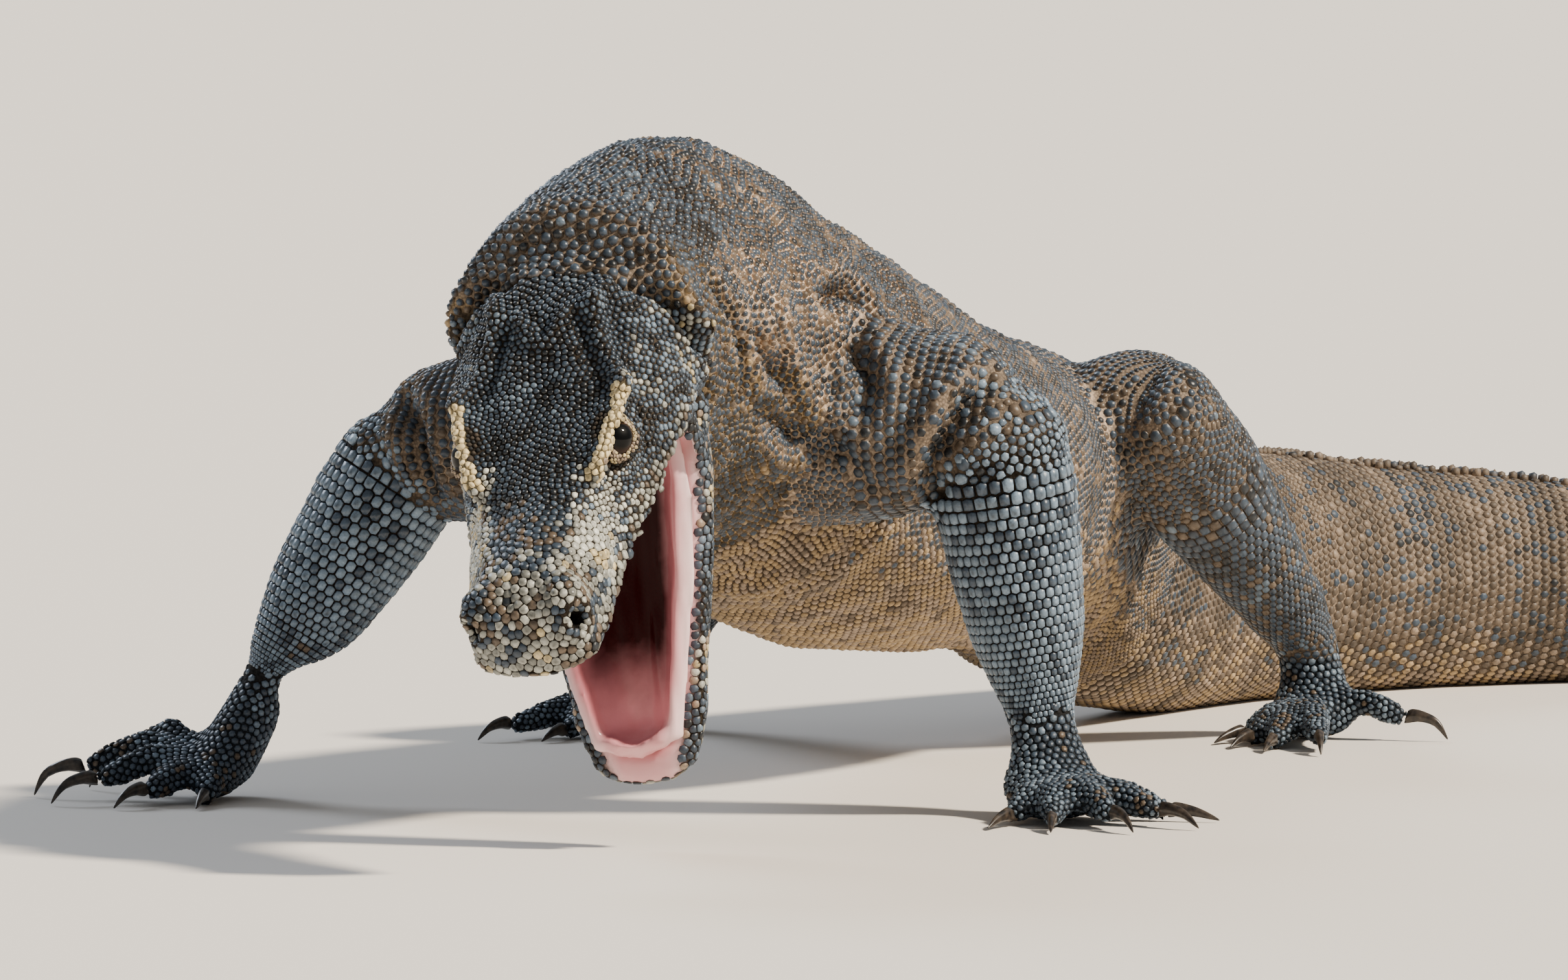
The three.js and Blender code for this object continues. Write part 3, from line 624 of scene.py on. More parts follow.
# ---------------------------------------------------------------- markings
def palettes(look):
    """Each region's scale colours as (colour, weight, least and most brightness), then its skin's colour and
    brightness, and its scales' roughness."""
    slate, coal, cream, ash = look.slate, look.coal, look.cream, look.ash
    tan, umber, belly, steel = look.tan, look.umber, look.belly, look.steel
    dark = [(coal, 5, 0.8, 1.6), (slate, 9, 0.6, 1.6), (steel, 1.8, 0.6, 1.0)]
    pale = [(coal, 1.5, 1.2, 2.4), (slate, 4, 0.8, 1.7), (umber, 2.5, 0.8, 1.6), (ash, 10, 0.35, 1.05)]
    pale = [*pale, (cream, 2.5, 0.5, 0.9)]
    return {
        "crown": (dark, umber, 0.32, 0.24),
        "cheek": ([*dark, (steel, 4, 0.8, 1.3), (ash, 4, 0.5, 1.1), (cream, 0.5, 0.5, 0.8)], umber, 0.6, 0.3),
        "brow": ([(tan, 1, 1.1, 1.5), (cream, 8, 0.95, 1.25)], cream, 0.34, 0.42),
        "lid": ([(umber, 2, 0.8, 1.3), (tan, 6, 0.9, 1.4), (cream, 5, 0.6, 0.95)], umber, 0.7, 0.4),
        "muzzle": (pale, umber, 0.4, 0.3),
        "muzzle_side": (
            [(slate, 3.5, 0.8, 1.7), (steel, 1.5, 0.9, 1.4), (ash, 12, 0.8, 1.65), (cream, 2, 0.7, 1.1)],
            umber, 0.5, 0.28,
        ),
        "bridge": (
            [(coal, 3, 1.0, 2.2), (slate, 5, 0.7, 1.6), (umber, 3, 0.7, 1.2), (ash, 3, 0.35, 0.8)],
            umber, 0.4, 0.28,
        ),
        "lip": (pale, umber, 0.35, 0.35),
        # The ear's hollow, the nostril and the rings round the lids take these dark colours: painted shade in
        # those hollows and folds, over their real dark umber.
        "ear": ([(umber, 3, 0.3, 0.6), (coal, 2, 0.6, 1.0)], umber, 0.15, 0.7),
        "jaw": ([*dark, (tan, 2, 0.8, 1.2), (ash, 4, 0.5, 1.0), (cream, 1.5, 0.5, 0.9)], umber, 0.45, 0.35),
        "collar": ([(coal, 5, 0.9, 1.8), (slate, 8, 0.8, 1.7), (steel, 1.5, 0.6, 1.1)], tan, 0.75, 0.26),
        "nape": (
            [(coal, 6, 0.9, 2.0), (slate, 7, 0.7, 1.5), (umber, 3, 0.9, 1.6), (tan, 1.5, 0.8, 1.2)],
            tan, 2.6, 0.28,
        ),
        "throat": (
            [(coal, 6, 0.9, 1.9), (slate, 5, 0.7, 1.5), (umber, 3, 0.8, 1.4), (belly, 2, 0.8, 1.2)],
            belly, 1.3, 0.4,
        ),
        "flank": (
            [(coal, 4, 0.9, 2.0), (slate, 6, 0.7, 1.6), (umber, 3, 0.9, 1.6), (tan, 1, 0.8, 1.2)],
            tan, 2.2, 0.38,
        ),
        "belly": ([(umber, 2, 1.2, 1.8), (tan, 4, 0.9, 1.4), (belly, 6, 0.9, 1.4)], umber, 1.0, 0.55),
        "arm": (
            [(coal, 5, 0.9, 1.8), (umber, 1.5, 0.7, 1.2), (slate, 9, 0.8, 1.7), (steel, 2, 0.6, 1.0)],
            tan, 1.0, 0.28,
        ),
        "forearm": ([(slate, 4, 1.2, 2.1), (steel, 9, 0.85, 1.6)], umber, 0.25, 0.22),
        "paw": ([(umber, 2, 0.8, 1.3), (slate, 7, 1.0, 1.9), (steel, 4, 0.7, 1.2)], coal, 1.8, 0.35),
        "tail": (
            [(coal, 1.5, 1.4, 2.2), (slate, 3, 1.1, 1.8), (umber, 7, 0.8, 1.7), (tan, 2, 0.7, 1.1)],
            tan, 1.1, 0.45,
        ),
        "shank": (
            [(coal, 3, 1.1, 2.1), (slate, 8, 0.9, 1.8), (umber, 3, 0.8, 1.5), (steel, 1.5, 0.6, 1.0)],
            tan, 0.7, 0.3,
        ),
    }


def on_nape(co):
    """1 on the top of the neck behind the head, 0 on its sides and on the trunk."""
    _, place = distance_to_line(co, SPINE_LINE)
    rise = (unit(co - SPINE_LINE[place]) * SPINE_UPRIGHT[place]).sum(axis=1)
    return blend_step(rise, 0.25, 0.75) * blend_step(place * RUN_STEP, 250, 170)


def bars(co):
    """How bright the tail's faint bars leave each point."""
    run = distance_to_line(co, SPINE_LINE)[1] * RUN_STEP
    wave = 0.5 + 0.5 * np.sin(run * 2 * math.pi / 84 + 1.5 * noise_at(co, 0.05, 5))
    return 1 - 0.35 * wave * blend_step(run, 760, 900)


def brow_distance(half):
    """How far places of the head's left half are from the brow's line, in millimetres."""
    return distance_to_line(half, smooth_path(BROW, 1.0))[0]


def head_regions(co, luck):
    """The name of the head's region at each point."""
    half = in_half_head(co)
    out, forward, up = half.T
    names = np.full(len(co), "cheek", dtype=object)
    names[(up > 36 - 8 * luck) & (forward < 150 + 30 * (luck - 0.5)) & (out < 38 + 6 * luck)] = "crown"
    names[(forward > 98 + 26 * luck) & (forward < 172) & (out > 20) & (up < 44 - 6 * luck)] = "muzzle_side"
    names[(forward > 140 + 16 * luck) & (out < 20 - 6 * luck)] = "bridge"
    names[forward > np.where(out < 18, 168, 158) + 24 * luck] = "muzzle"
    names[(up < 9) & (forward > 52)] = "lip"
    share = lid_share(half)
    # The "ear" colours go on a ring round the lids, on the lids' inner rim against the eyeball, in the ear's
    # hollow and in the nostril: painted shade in these folds and hollows.
    names[share < 2.4] = "ear"
    names[share < 1.7 + 0.2 * luck] = "lid"
    names[share < 1.12] = "ear"
    names[brow_distance(half) < 3.6 + 1.4 * luck] = "brow"
    distance, _ = distance_to_line(half, smooth_path(SNOUT_EDGE, 1.0))
    names[(distance < 1.5 + 3 * luck) & (forward < 175)] = "muzzle"
    names[(ear_distance(half) < 1) | (nostril_distance(half) < 4.8)] = "ear"
    return names


def limb_parts(limb):
    """The names of a limb's nodes from the trunk out, without their side."""
    return ["upper_arm", "forearm", "hand"] if limb.startswith("front") else ["thigh", "shank", "foot"]


def regions_of(co, normal, labels, luck):
    """The name of the region at each point. luck, from 0 to 1, mixes neighbouring regions where they meet."""
    run = distance_to_line(co, SPINE_LINE)[1] * RUN_STEP
    names = np.full(len(co), "nape", dtype=object)
    names[(run < 30 + 80 * luck) | ((on_nape(co) > 0.55 + 0.4 * luck) & (run < 110 + 60 * luck))] = "collar"
    names[run > 150 + 190 * luck] = "flank"
    names[run > 740 + 160 * luck] = "tail"
    down = -normal[:, 2] + 0.5 * (luck - 0.5)
    low = co[:, 2] < 0.235
    names[(down > 0.15) & low & (run < 260)] = "throat"
    names[(down > 0.45) & (run >= 260)] = "belly"
    head = in_head(co)
    sunk = (head[:, 1] > -52) & (np.abs(head[:, 0]) > 50) & (head[:, 2] < 44) & (luck > 0.35)
    names[sunk & np.isin(names, ["collar", "nape"])] = "throat"
    names[labels == HEAD] = head_regions(co[labels == HEAD], luck[labels == HEAD])
    names[np.isin(labels, [JAW, *WEBS])] = "jaw"
    for limb, line in LIMB_LINES.items():
        side = limb.split("_")[1]
        own = limb_parts(limb)
        mine = np.isin(labels, [HIDE_NODES.index(f"{name}_{side}") for name in own])
        if not mine.any():
            continue
        at = distance_to_line(co[mine], line)[1] * RUN_STEP
        bend, wrist = (step_near(line, LIMBS[limb][i]) * RUN_STEP for i in (1, 2))
        local = np.where(at < 60 * luck[mine], "flank", "arm").astype(object)
        local[at > bend - 18 + 36 * luck[mine]] = own[1]
        local[at > wrist - 36 + 60 * luck[mine]] = "paw"
        names[mine] = local
    return names


def ground_colours(look, co, normal, labels):
    """The skin's own colour and gloss at each point, mixed smoothly from the regions."""
    table = palettes(look)
    total = np.zeros((len(co), 3))
    gloss = np.zeros(len(co))
    lucks = (0.1, 0.3, 0.5, 0.7, 0.9)
    for luck in lucks:
        names = regions_of(co, normal, labels, np.full(len(co), luck))
        for name in set(names):
            held = names == name
            _, skin, brightness, shine = table[name]
            total[held] += np.array(skin) * brightness
            gloss[held] += shine
    return total / len(lucks) * bars(co)[:, None], gloss / len(lucks)


def scale_colours(look, co, normal, labels, draw):
    """Each scale's colour and gloss, drawn from its region's colours."""
    table = palettes(look)
    patches = noise_at(co, 0.04, 1) * 0.6 + noise_at(co, 0.013, 2) * 0.6
    names = regions_of(co, normal, labels, draw.random(len(co)))
    pick = np.clip(draw.random(len(co)) * 0.66 + 0.17 + 0.6 * patches, 0, 0.9999)
    bright = draw.random(len(co))
    colours, skins = np.zeros((2, len(co), 3))
    gloss = np.zeros(len(co))
    for name in set(names):
        held = np.flatnonzero(names == name)
        choices, skin, brightness, shine = table[name]
        edges = np.cumsum([choice[1] for choice in choices])
        chosen = np.searchsorted(edges / edges[-1], pick[held], side="right")
        for index, (paint, _, least, most) in enumerate(choices):
            mine = held[chosen == index]
            colours[mine] = np.array(paint) * (least + (most - least) * bright[mine])[:, None]
        skins[held] = np.array(skin) * brightness * (0.75 + 0.4 * bright[held, None])
        gloss[held] = shine
    barred = bars(co)[:, None]
    return colours * barred, skins * barred, gloss


# ---------------------------------------------------------------- the coat
class Hide:
    """The finished hide, ready to be searched."""

    def __init__(self):
        mesh = bpy.data.objects["hide"].data
        self.co, self.normal = mesh_arrays(mesh)
        self.faces = [tuple(face.vertices) for face in mesh.polygons]
        self.tree = BVHTree.FromPolygons([Vector(p) for p in self.co], self.faces)
        self.labels = values_of(mesh.attributes["region"].data, "value", 1, np.int32)
        self.wet = values_of(mesh.attributes["wet"].data, "value", 1, np.float32)

    def nearest(self, points):
        """The place on the hide nearest to each point, with its smooth normal, label and wetness."""
        found = [self.tree.find_nearest(Vector(point)) for point in points]
        place = np.array([f[0] for f in found])
        corners = [self.faces[f[2]] for f in found]
        first = np.array([c[0] for c in corners])
        normal = np.array([self.normal[list(c)].mean(axis=0) for c in corners])
        return place, unit(normal), self.labels[first], self.wet[first]


def lattice(hide, line, up, start, end, pitch, stretch, labels, drift=0.5, rays=96, reach=0.2, ragged=0):
    """Rows of scales round a part of the body. pitch is a scale's width, stretch its length by its width,
    drift how far each row is turned on from the one before, in widths, and ragged how unevenly they begin."""
    along, side, upright = path_frames(line, up)
    angles = np.arange(rays) * 2 * math.pi / rays - math.pi / 2
    turned = np.stack([np.cos(angles), np.sin(angles)], axis=1)

    def ring(place):
        """The hide's points round a place of the line, which are the part's, and the steps between them."""
        index = min(int(place), len(line) - 1)
        part = place - index
        following = min(index + 1, len(line) - 1)
        centre = line[index] * (1 - part) + line[following] * part
        ways = turned @ np.stack([side[index] * (1 - part) + side[following] * part, upright[index]])
        points, good = [], []
        for way in ways:
            hit = hide.tree.ray_cast(Vector(centre), Vector(way), reach)
            points.append(centre + way * 0.05 if hit[0] is None else np.array(hit[0]))
            good.append(hit[0] is not None and hide.labels[hide.faces[hit[2]][0]] in labels)
        points, good = np.array(points), np.array(good)
        return points, good, np.linalg.norm(np.roll(points, -1, axis=0) - points, axis=1)

    rings = [ring(place) for place in np.linspace(start, end, 7)]
    girths = [np.median(steps[good]) * rays for _, good, steps in rings if good.sum() > rays / 3]
    count = max(8, int(np.median(girths) / pitch))
    rows = []
    place = start
    while place < end:
        points, good, steps = ring(place)
        middle = np.median(steps[good]) if good.any() else np.median(steps)
        run = np.concatenate([[0], np.cumsum(np.minimum(steps, 2.5 * middle))])
        width = run[-1] / count
        goal = (np.arange(count) + len(rows) * drift % 1) * width
        closed = np.concatenate([points, points[:1]])
        spots = np.stack([np.interp(goal, run, closed[:, i]) for i in range(3)], axis=1)
        held = good[np.minimum((np.searchsorted(run, goal, side="right") - 1), rays - 1)]
        rows.append((spots, held, place, width))
        place += width * stretch / (RUN_STEP * MM)
    spots, kept = (np.concatenate([row[i] for row in rows]) for i in (0, 1))
    row_of, column = np.divmod(np.arange(len(spots)), count)
    places, spans = (np.array([row[i] for row in rows])[row_of] for i in (2, 3))
    before, after = (np.clip(row_of + way, 0, len(rows) - 1) * count + column for way in (-1, 1))
    twice = np.maximum((row_of < len(rows) - 1).astype(int) + (row_of > 0).astype(int), 1)
    left, right = (np.roll(spots.reshape(-1, count, 3), way, axis=1).reshape(-1, 3) for way in (1, -1))
    width = np.linalg.norm(right - left, axis=1) / 2
    place, normal, label, wet = hide.nearest(spots)
    lie = unit(np.cross(normal, unit(right - left)))
    way = along[np.clip(places.astype(int), 0, len(line) - 1)]
    lie *= np.where((lie * way).sum(1) < 0, -1, 1)[:, None]
    pitch_along = np.abs(((spots[after] - spots[before]) * lie).sum(axis=1)) / twice
    kept &= np.isin(label, labels) & (wet < 0.5) & (width > 0.35 * pitch) & (width < 1.35 * pitch)
    kept &= (pitch_along > 0.35 * pitch * stretch) & (pitch_along < 1.6 * pitch * stretch)
    kept &= places - start >= ragged * np.clip(0.5 + 1.2 * noise_at(spots, 0.02, 10), 0, 1)
    sites = {
        "place": place, "normal": normal, "lie": lie, "label": label,
        "size": np.minimum(spans, 1.22 * pitch) * max(1, stretch),
        "unwrap": np.stack([column / count, (places - start) / (end - start)], axis=1),
    }
    return {key: value[kept] for key, value in sites.items()}


def scatter(hide, labels, size, allowed, seed, walls=None, rounds=26):
    """Scales packed evenly but in no rows. size gives their width at any point, allowed tells which places
    may hold one, and walls is a tree of places that they keep off."""
    draw = np.random.default_rng(seed)
    held = [f for f in hide.faces if hide.labels[f[0]] in labels and hide.wet[f[0]] < 0.5]
    triangles = np.array([(f[0], f[i], f[i + 1]) for f in held for i in range(1, len(f) - 1)])
    a, b, c = (hide.co[triangles[:, i]] for i in range(3))
    middle = (a + b + c) / 3
    fits = allowed(middle)
    a, b, c, middle = a[fits], b[fits], c[fits], middle[fits]
    area = np.linalg.norm(np.cross(b - a, c - a), axis=1) / 2
    load = np.cumsum(area / (0.866 * size(middle) ** 2))
    count = int(load[-1])
    chosen = np.searchsorted(load, (np.arange(count) + draw.random(count)) * load[-1] / count)
    chosen = np.minimum(chosen, len(a) - 1)
    u, v = draw.random((2, count))
    over = u + v > 1
    u[over], v[over] = 1 - u[over], 1 - v[over]
    spots = a[chosen] + (b - a)[chosen] * u[:, None] + (c - a)[chosen] * v[:, None]
    for turn in range(rounds):
        wide = size(spots)
        tree = point_tree(spots)
        moves = np.zeros_like(spots)
        for index, point in enumerate(spots):
            near = tree.find_n(point, 9)[1:]
            gaps = point - np.array([n[0] for n in near])
            reach = np.array([n[2] for n in near])
            push = np.clip(1.15 - reach / wide[index], 0, 1)
            moves[index] = (gaps / np.maximum(reach, 1e-9)[:, None] * push[:, None]).sum(axis=0)
            if walls is not None:
                edge, _, reach = walls.find(point)
                away = np.array(Vector(point) - edge) / max(reach, 1e-9)
                moves[index] += away * max(0, 1 - reach / (0.6 * wide[index]))
        step = moves * wide[:, None] * (0.32 if turn < rounds - 4 else 0.15)
        spots = np.array([hide.tree.find_nearest(Vector(p))[0] for p in spots + step])
    place, normal, label, wet = hide.nearest(spots)
    kept = np.isin(label, labels) & (wet < 0.5) & allowed(place)
    place, normal, label = place[kept], normal[kept], label[kept]
    return {"place": place, "normal": normal, "label": label, "size": size(place)}


def cell_outlines(sites, corners, walls):
    """Each scale's half widths at its corners, from its neighbours' places and from walls, if any."""
    place, normal, size = sites["place"], sites["normal"], sites["size"]
    side = unit(np.cross(sites["lie"], normal))
    lie = unit(np.cross(normal, side))
    sites["lie"] = lie
    tree = point_tree(place)
    angles = np.arange(corners) * 2 * math.pi / corners
    ways = np.stack([np.cos(angles), np.sin(angles)], axis=1)
    radii = np.empty((len(place), corners))
    for index, point in enumerate(place):
        near = tree.find_n(point, 11)[1:]
        gaps = np.array([n[0] for n in near]) - point
        if walls is not None:
            edges = [n[0] for n in walls.find_n(point, 16)]
            gaps = np.concatenate([gaps, 2 * (np.array(edges) - point)])
        flat = np.stack([gaps @ lie[index], gaps @ side[index]], axis=1)
        reach = np.linalg.norm(flat, axis=1)
        facing = ways @ (flat / reach[:, None]).T
        limits = np.where(facing > 0.05, reach / 2 / np.maximum(facing, 0.05), 1.0)
        radii[index] = limits.min(axis=1)
    square = sites["flat"] ** 2
    most = np.minimum((0.66 + 0.2 * square) * size, (1.13 + 0.3 * square) * np.median(radii, axis=1))
    radii = np.minimum(radii, most[:, None])
    return radii * np.minimum(1, (0.57 + 0.1 * square) * size / np.median(radii, axis=1))[:, None]


def scale_form(corners):
    """One scale on a unit circle, in steps of height: a flat foot, a shoulder ring and a crown."""
    bm = bmesh.new()
    bmesh.ops.create_circle(bm, cap_ends=True, segments=corners, radius=1)
    foot = bm.faces[:]
    raised = bmesh.ops.extrude_face_region(bm, geom=foot)["geom"]
    top = [f for f in raised if isinstance(f, bmesh.types.BMFace)]
    ring = [g for g in raised if isinstance(g, bmesh.types.BMVert)]
    bmesh.ops.translate(bm, vec=(0, 0, 1), verts=ring)
    crown = bmesh.ops.poke(bm, faces=top)["verts"]
    bmesh.ops.translate(bm, vec=(0, 0, 1), verts=crown)
    bmesh.ops.recalc_face_normals(bm, faces=bm.faces)
    return bm


PATCH = 0.0015  # half the width of a scale's patch on the unwrap
MOST_TRIANGLES = 190000  # in one piece of the coat


def joined_scales(name, look, sites, corners, dome, fill, draw):
    """One mesh of many scales: copies of one form, each drawn out to its own outline and laid on the hide.
    dome is a scale's height by its width, and fill the share of its outline that it takes up."""
    form = scale_form(corners)
    bmesh.ops.triangulate(form, faces=[f for f in form.faces if len(f.verts) > 4])
    spots = np.array([v.co for v in form.verts])
    faces = [[v.index for v in f.verts] for f in form.faces]
    form.free()
    turn = np.arctan2(spots[:, 1], spots[:, 0]) * corners / (2 * math.pi)
    corner = np.floor(turn + 0.01).astype(int) % corners
    step = np.round(spots[:, 2]).astype(int)  # 0 at the foot, 1 at the shoulder, 2 at the crown
    place, normal, lie, flat = sites["place"], sites["normal"], sites["lie"], sites["flat"]
    count, size = len(place), len(spots)
    side = np.cross(lie, normal)
    share = np.stack([np.ones(count), 0.71 + 0.23 * flat, np.zeros(count)], axis=1)[:, step]
    level = np.stack([np.zeros(count), 0.62 + 0.28 * flat, np.ones(count)], axis=1)[:, step]
    tall = dome * 2 * np.median(sites["radii"], axis=1) * (0.85 + 0.3 * draw.random(count)) * (1 - 0.5 * flat)
    tall = tall * (1 + 4 * blend_step(normal[:, 2], 0.98, 0.995) * np.isin(sites["label"], TAIL))
    reach = sites["radii"][:, corner] * (fill * (0.97 + 0.06 * draw.random((count, 1)))) * share
    angle = corner * 2 * math.pi / corners
    lengthways = np.cos(angle) * reach + (step == 2) * 0.2 * np.median(sites["radii"], axis=1)[:, None]
    sideways = np.sin(angle) * reach
    points = place[:, None] + lengthways[:, :, None] * lie[:, None] + sideways[:, :, None] * side[:, None]
    points = points + (level * tall[:, None] - (step == 0) * 0.0005)[:, :, None] * normal[:, None]
    points[:, :, 2] = np.clip(points[:, :, 2], 0, CAD_BOX[1].z)
    sizes = np.array([len(f) for f in faces])
    loops = (np.concatenate(faces)[None] + np.arange(count)[:, None] * size).ravel()
    mesh = bpy.data.meshes.new(name)
    mesh.vertices.add(count * size)
    mesh.vertices.foreach_set("co", points.ravel())
    mesh.loops.add(len(loops))
    mesh.loops.foreach_set("vertex_index", loops.astype(np.int32))
    mesh.polygons.add(count * len(sizes))
    starts = np.concatenate([[0], np.cumsum(np.tile(sizes, count))[:-1]])
    mesh.polygons.foreach_set("loop_start", starts.astype(np.int32))
    mesh.update(calc_edges=True)
    mesh.validate()
    colours, skins, gloss = scale_colours(look, place, normal, sites["label"], draw)
    # The foot takes the skin's own colour. The shoulder ring is painted a little darker (0.95), as painted
    # shade at each scale's edge. The crown is painted brighter (1.15), as a painted highlight on its top.
    # Spotted scales get a real dark centre (0.3) instead.
    spotted = (draw.random(count) < 0.45) & (colours.mean(axis=1) > 0.25)
    tones = np.stack([skins, colours * 0.95, colours * np.where(spotted, 0.3, 1.15)[:, None]], axis=1)
    keep_values(mesh, "paint", tones[:, step].reshape(-1, 3))
    keep_values(mesh, "gloss", np.repeat(gloss + 0.1 * (draw.random(count) - 0.5), size))
    patch = sites["unwrap"][:, None] * 0.99 + 0.005 + spots[None, :, :2] * PATCH
    uv = mesh.uv_layers.new(name="OFBake")
    uv.uv.foreach_set("vector", patch.reshape(-1, 2)[loops].ravel())
    return mesh


def add_coat(name, slot, look, sites, corners, dome, fill, seed, flat, walls=None):
    """Makes the scales of one part of the body in as few pieces as MOST_TRIANGLES allows."""
    draw = np.random.default_rng(seed)
    sites["flat"] = np.broadcast_to(flat(sites["place"]) if callable(flat) else flat, len(sites["place"]))
    sites["radii"] = cell_outlines(sites, corners, walls)
    count = len(sites["place"])
    parts = math.ceil(count * (4 * corners - 2) / MOST_TRIANGLES)
    for index, span in enumerate(np.array_split(np.arange(count), parts)):
        own = {key: value[span] for key, value in sites.items()}
        title = f"scales_{name}" + (f"_{index + 1}" if parts > 1 else "")
        add_piece(title, joined_scales(title, look, own, corners, dome, fill, draw), slot, scale_finish())


def rows_coat(hide, name, slot, look, runs, dome, fill, seed, flat=0.0, corners=6):
    """Scales in rows along one or more parts of the body. Each run is a set of arguments for lattice()."""
    found = [lattice(hide, **run) for run in runs]
    sites = {key: np.concatenate([f[key] for f in found]) for key in found[0]}
    part = np.repeat(np.arange(len(found)), [len(f["place"]) for f in found])
    sites["unwrap"][:, 0] = (part + sites["unwrap"][:, 0]) / len(runs)
    add_coat(name, slot, look, sites, corners, dome, fill, seed, flat)


def packed_coat(
    hide, name, slot, look, labels, size, allowed, axis, lie, dome, fill, seed,
    corners=8, flat=0.0, walls=None,
):
    """Scales packed without rows over a part of the body."""
    sites = scatter(hide, labels, size, allowed, seed, walls)
    sites["lie"] = np.tile(np.array(lie, float), (len(sites["place"]), 1))
    start, way = np.array(axis[0]), unit(np.array(axis[1]) - axis[0])
    across = unit(np.cross(way, [0.1, 0.2, 1.0]))
    from_start = sites["place"] - start
    run = from_start @ way
    turn = np.arctan2(from_start @ np.cross(way, across), from_start @ across) / (2 * math.pi) + 0.5
    sites["unwrap"] = np.stack([turn, (run - run.min()) / max(np.ptp(run), 1e-6)], axis=1)
    add_coat(name, slot, look, sites, corners, dome, fill, seed, flat, walls)


# ---------------------------------------------------------------- finishes
def finish(name):
    """Turns a function that wires up a shader into one that gives the material called name."""
    def with_name(wire):
        def made(*given):
            material = bpy.data.materials.get(name)
            if material is None:
                material = bpy.data.materials.new(name)
                material.use_nodes = True
                wire(material.node_tree, material.node_tree.nodes["Principled BSDF"], *given)
            return material
        return made
    return with_name


def fill(tree, node, values):
    """Gives a node's inputs, by number or by name, their numbers or the sockets that feed them, and gives the
    node its other settings by name."""
    for key, value in values.items():
        if isinstance(key, str) and key not in node.inputs:
            setattr(node, key, value)
        elif isinstance(value, bpy.types.NodeSocket):
            tree.links.new(value, node.inputs[key])
        else:
            node.inputs[key].default_value = value
    return node


def add(tree, kind, *values, **named):
    """The outputs of a new node, whose inputs are given in order or by name."""
    return fill(tree, tree.nodes.new("ShaderNode" + kind), dict(enumerate(values)) | named).outputs


def add_ramp(tree, value, stops):
    ramp = fill(tree, tree.nodes.new("ShaderNodeValToRGB"), {"Fac": value})
    elements = ramp.color_ramp.elements
    while len(elements) < len(stops):
        elements.new(0.5)
    for element, (position, paint) in zip(elements, stops):
        element.position = position
        element.color = (*colour(paint), 1)
    return ramp.outputs["Color"]


def add_noise(tree, scale, detail):
    place = add(tree, "TexCoord")["Object"]
    return add(tree, "TexNoise", Vector=place, Scale=scale, Detail=detail)["Fac"]


@finish("scale_horn")
def scale_finish(tree, shader):
    """Horny scales: painted by their own attribute, with fine pits and a scuffed gloss."""
    paint = add(tree, "Attribute", attribute_name="paint")["Color"]
    gloss = add(tree, "Attribute", attribute_name="gloss")["Fac"]
    grain, dust = add_noise(tree, 900.0, 4.0), add_noise(tree, 160.0, 3.0)
    mottling = add(tree, "MapRange", grain, 0.3, 0.7, 0.78, 1.22)["Result"]
    fill(tree, shader, {
        "Base Color": add(tree, "VectorMath", paint, operation="SCALE", Scale=mottling)["Vector"],
        "Roughness": add(tree, "Math", dust, 0.25, gloss, operation="MULTIPLY_ADD")["Value"],
        "Normal": add(tree, "Bump", Strength=0.25, Distance=0.0004, Height=grain)["Normal"],
        "Specular IOR Level": 0.5,
    })


@finish("hide_skin")
def hide_finish(tree, shader):
    """The skin between the scales: fine granules with painted shade between them, dry outside and wet inside
    the mouth.
    """
    paint = add(tree, "Attribute", attribute_name="paint")["Color"]
    wet = add(tree, "Attribute", attribute_name="wet")["Fac"]
    place = add(tree, "TexCoord")["Object"]
    granules = add(tree, "TexVoronoi", Vector=place, Scale=620.0)["Distance"]
    # Painted shade between the granules: the colour runs from 1.15 at each granule's middle down to 0.45 at
    # its edge. The wet lining of the mouth is left even.
    shade = add(tree, "MapRange", granules, 0.1, 0.8, 1.15, 0.45)["Result"]
    shade = add(tree, "Mix", data_type="FLOAT", Factor=wet, A=shade, B=1.0)["Result"]
    relief = add(tree, "MapRange", wet, 0.0, 1.0, 0.6, 0.05)["Result"]
    fill(tree, shader, {
        "Base Color": add(tree, "VectorMath", paint, operation="SCALE", Scale=shade)["Vector"],
        "Roughness": add(tree, "MapRange", wet, 0.0, 1.0, 0.72, 0.24)["Result"],
        "Specular IOR Level": add(tree, "MapRange", paint, 0.0, 0.3, 0.06, 0.5)["Result"],
        "Normal": add(tree, "Bump", invert=True, Strength=relief, Distance=0.0006, Height=granules)["Normal"],
    })


@finish("claw_horn")
def horn_finish(tree, shader):
    """Dark claws, streaked along their length."""
    streaks = add_noise(tree, 260.0, 5.0)
    fill(tree, shader, {
        "Base Color": add_ramp(tree, streaks, [(0.35, "171413"), (0.75, "4e443a")]),
        "Roughness": 0.32,
        "Normal": add(tree, "Bump", Strength=0.3, Distance=0.0003, Height=streaks)["Normal"],
    })


@finish("eye_wet")
def eye_finish(tree, shader):
    """A dark brown iris round a black pupil, under a clear wet coat."""
    angle = add(tree, "Attribute", attribute_name="from_pupil")["Fac"]
    angle = add(tree, "Math", add_noise(tree, 700.0, 4.0), 0.12, angle, operation="MULTIPLY_ADD")["Value"]
    stops = [(0.6, "010101"), (0.68, "180d06"), (0.86, "2c180b"), (1.0, "0c0704"), (1.2, "060403")]
    fill(tree, shader, {
        "Base Color": add_ramp(tree, angle, stops), "Roughness": 0.45, "Specular IOR Level": 0.05,
        "Coat Weight": 0.6, "Coat IOR": 1.34, "Coat Roughness": 0.03,
    })


@finish("studio_floor")
def floor_finish(tree, shader, look):
    fill(tree, shader, {"Base Color": (*look.floor, 1), "Roughness": 0.85})


# ---------------------------------------------------------------- operators
class PieceOperator:
    """What every operator of this add-on shares."""

    bl_options = {"REGISTER", "UNDO"}

    @staticmethod
    def hide():
        if "hide" not in bpy.data.objects:
            raise RuntimeError("make the hide before its scales")
        return Hide()


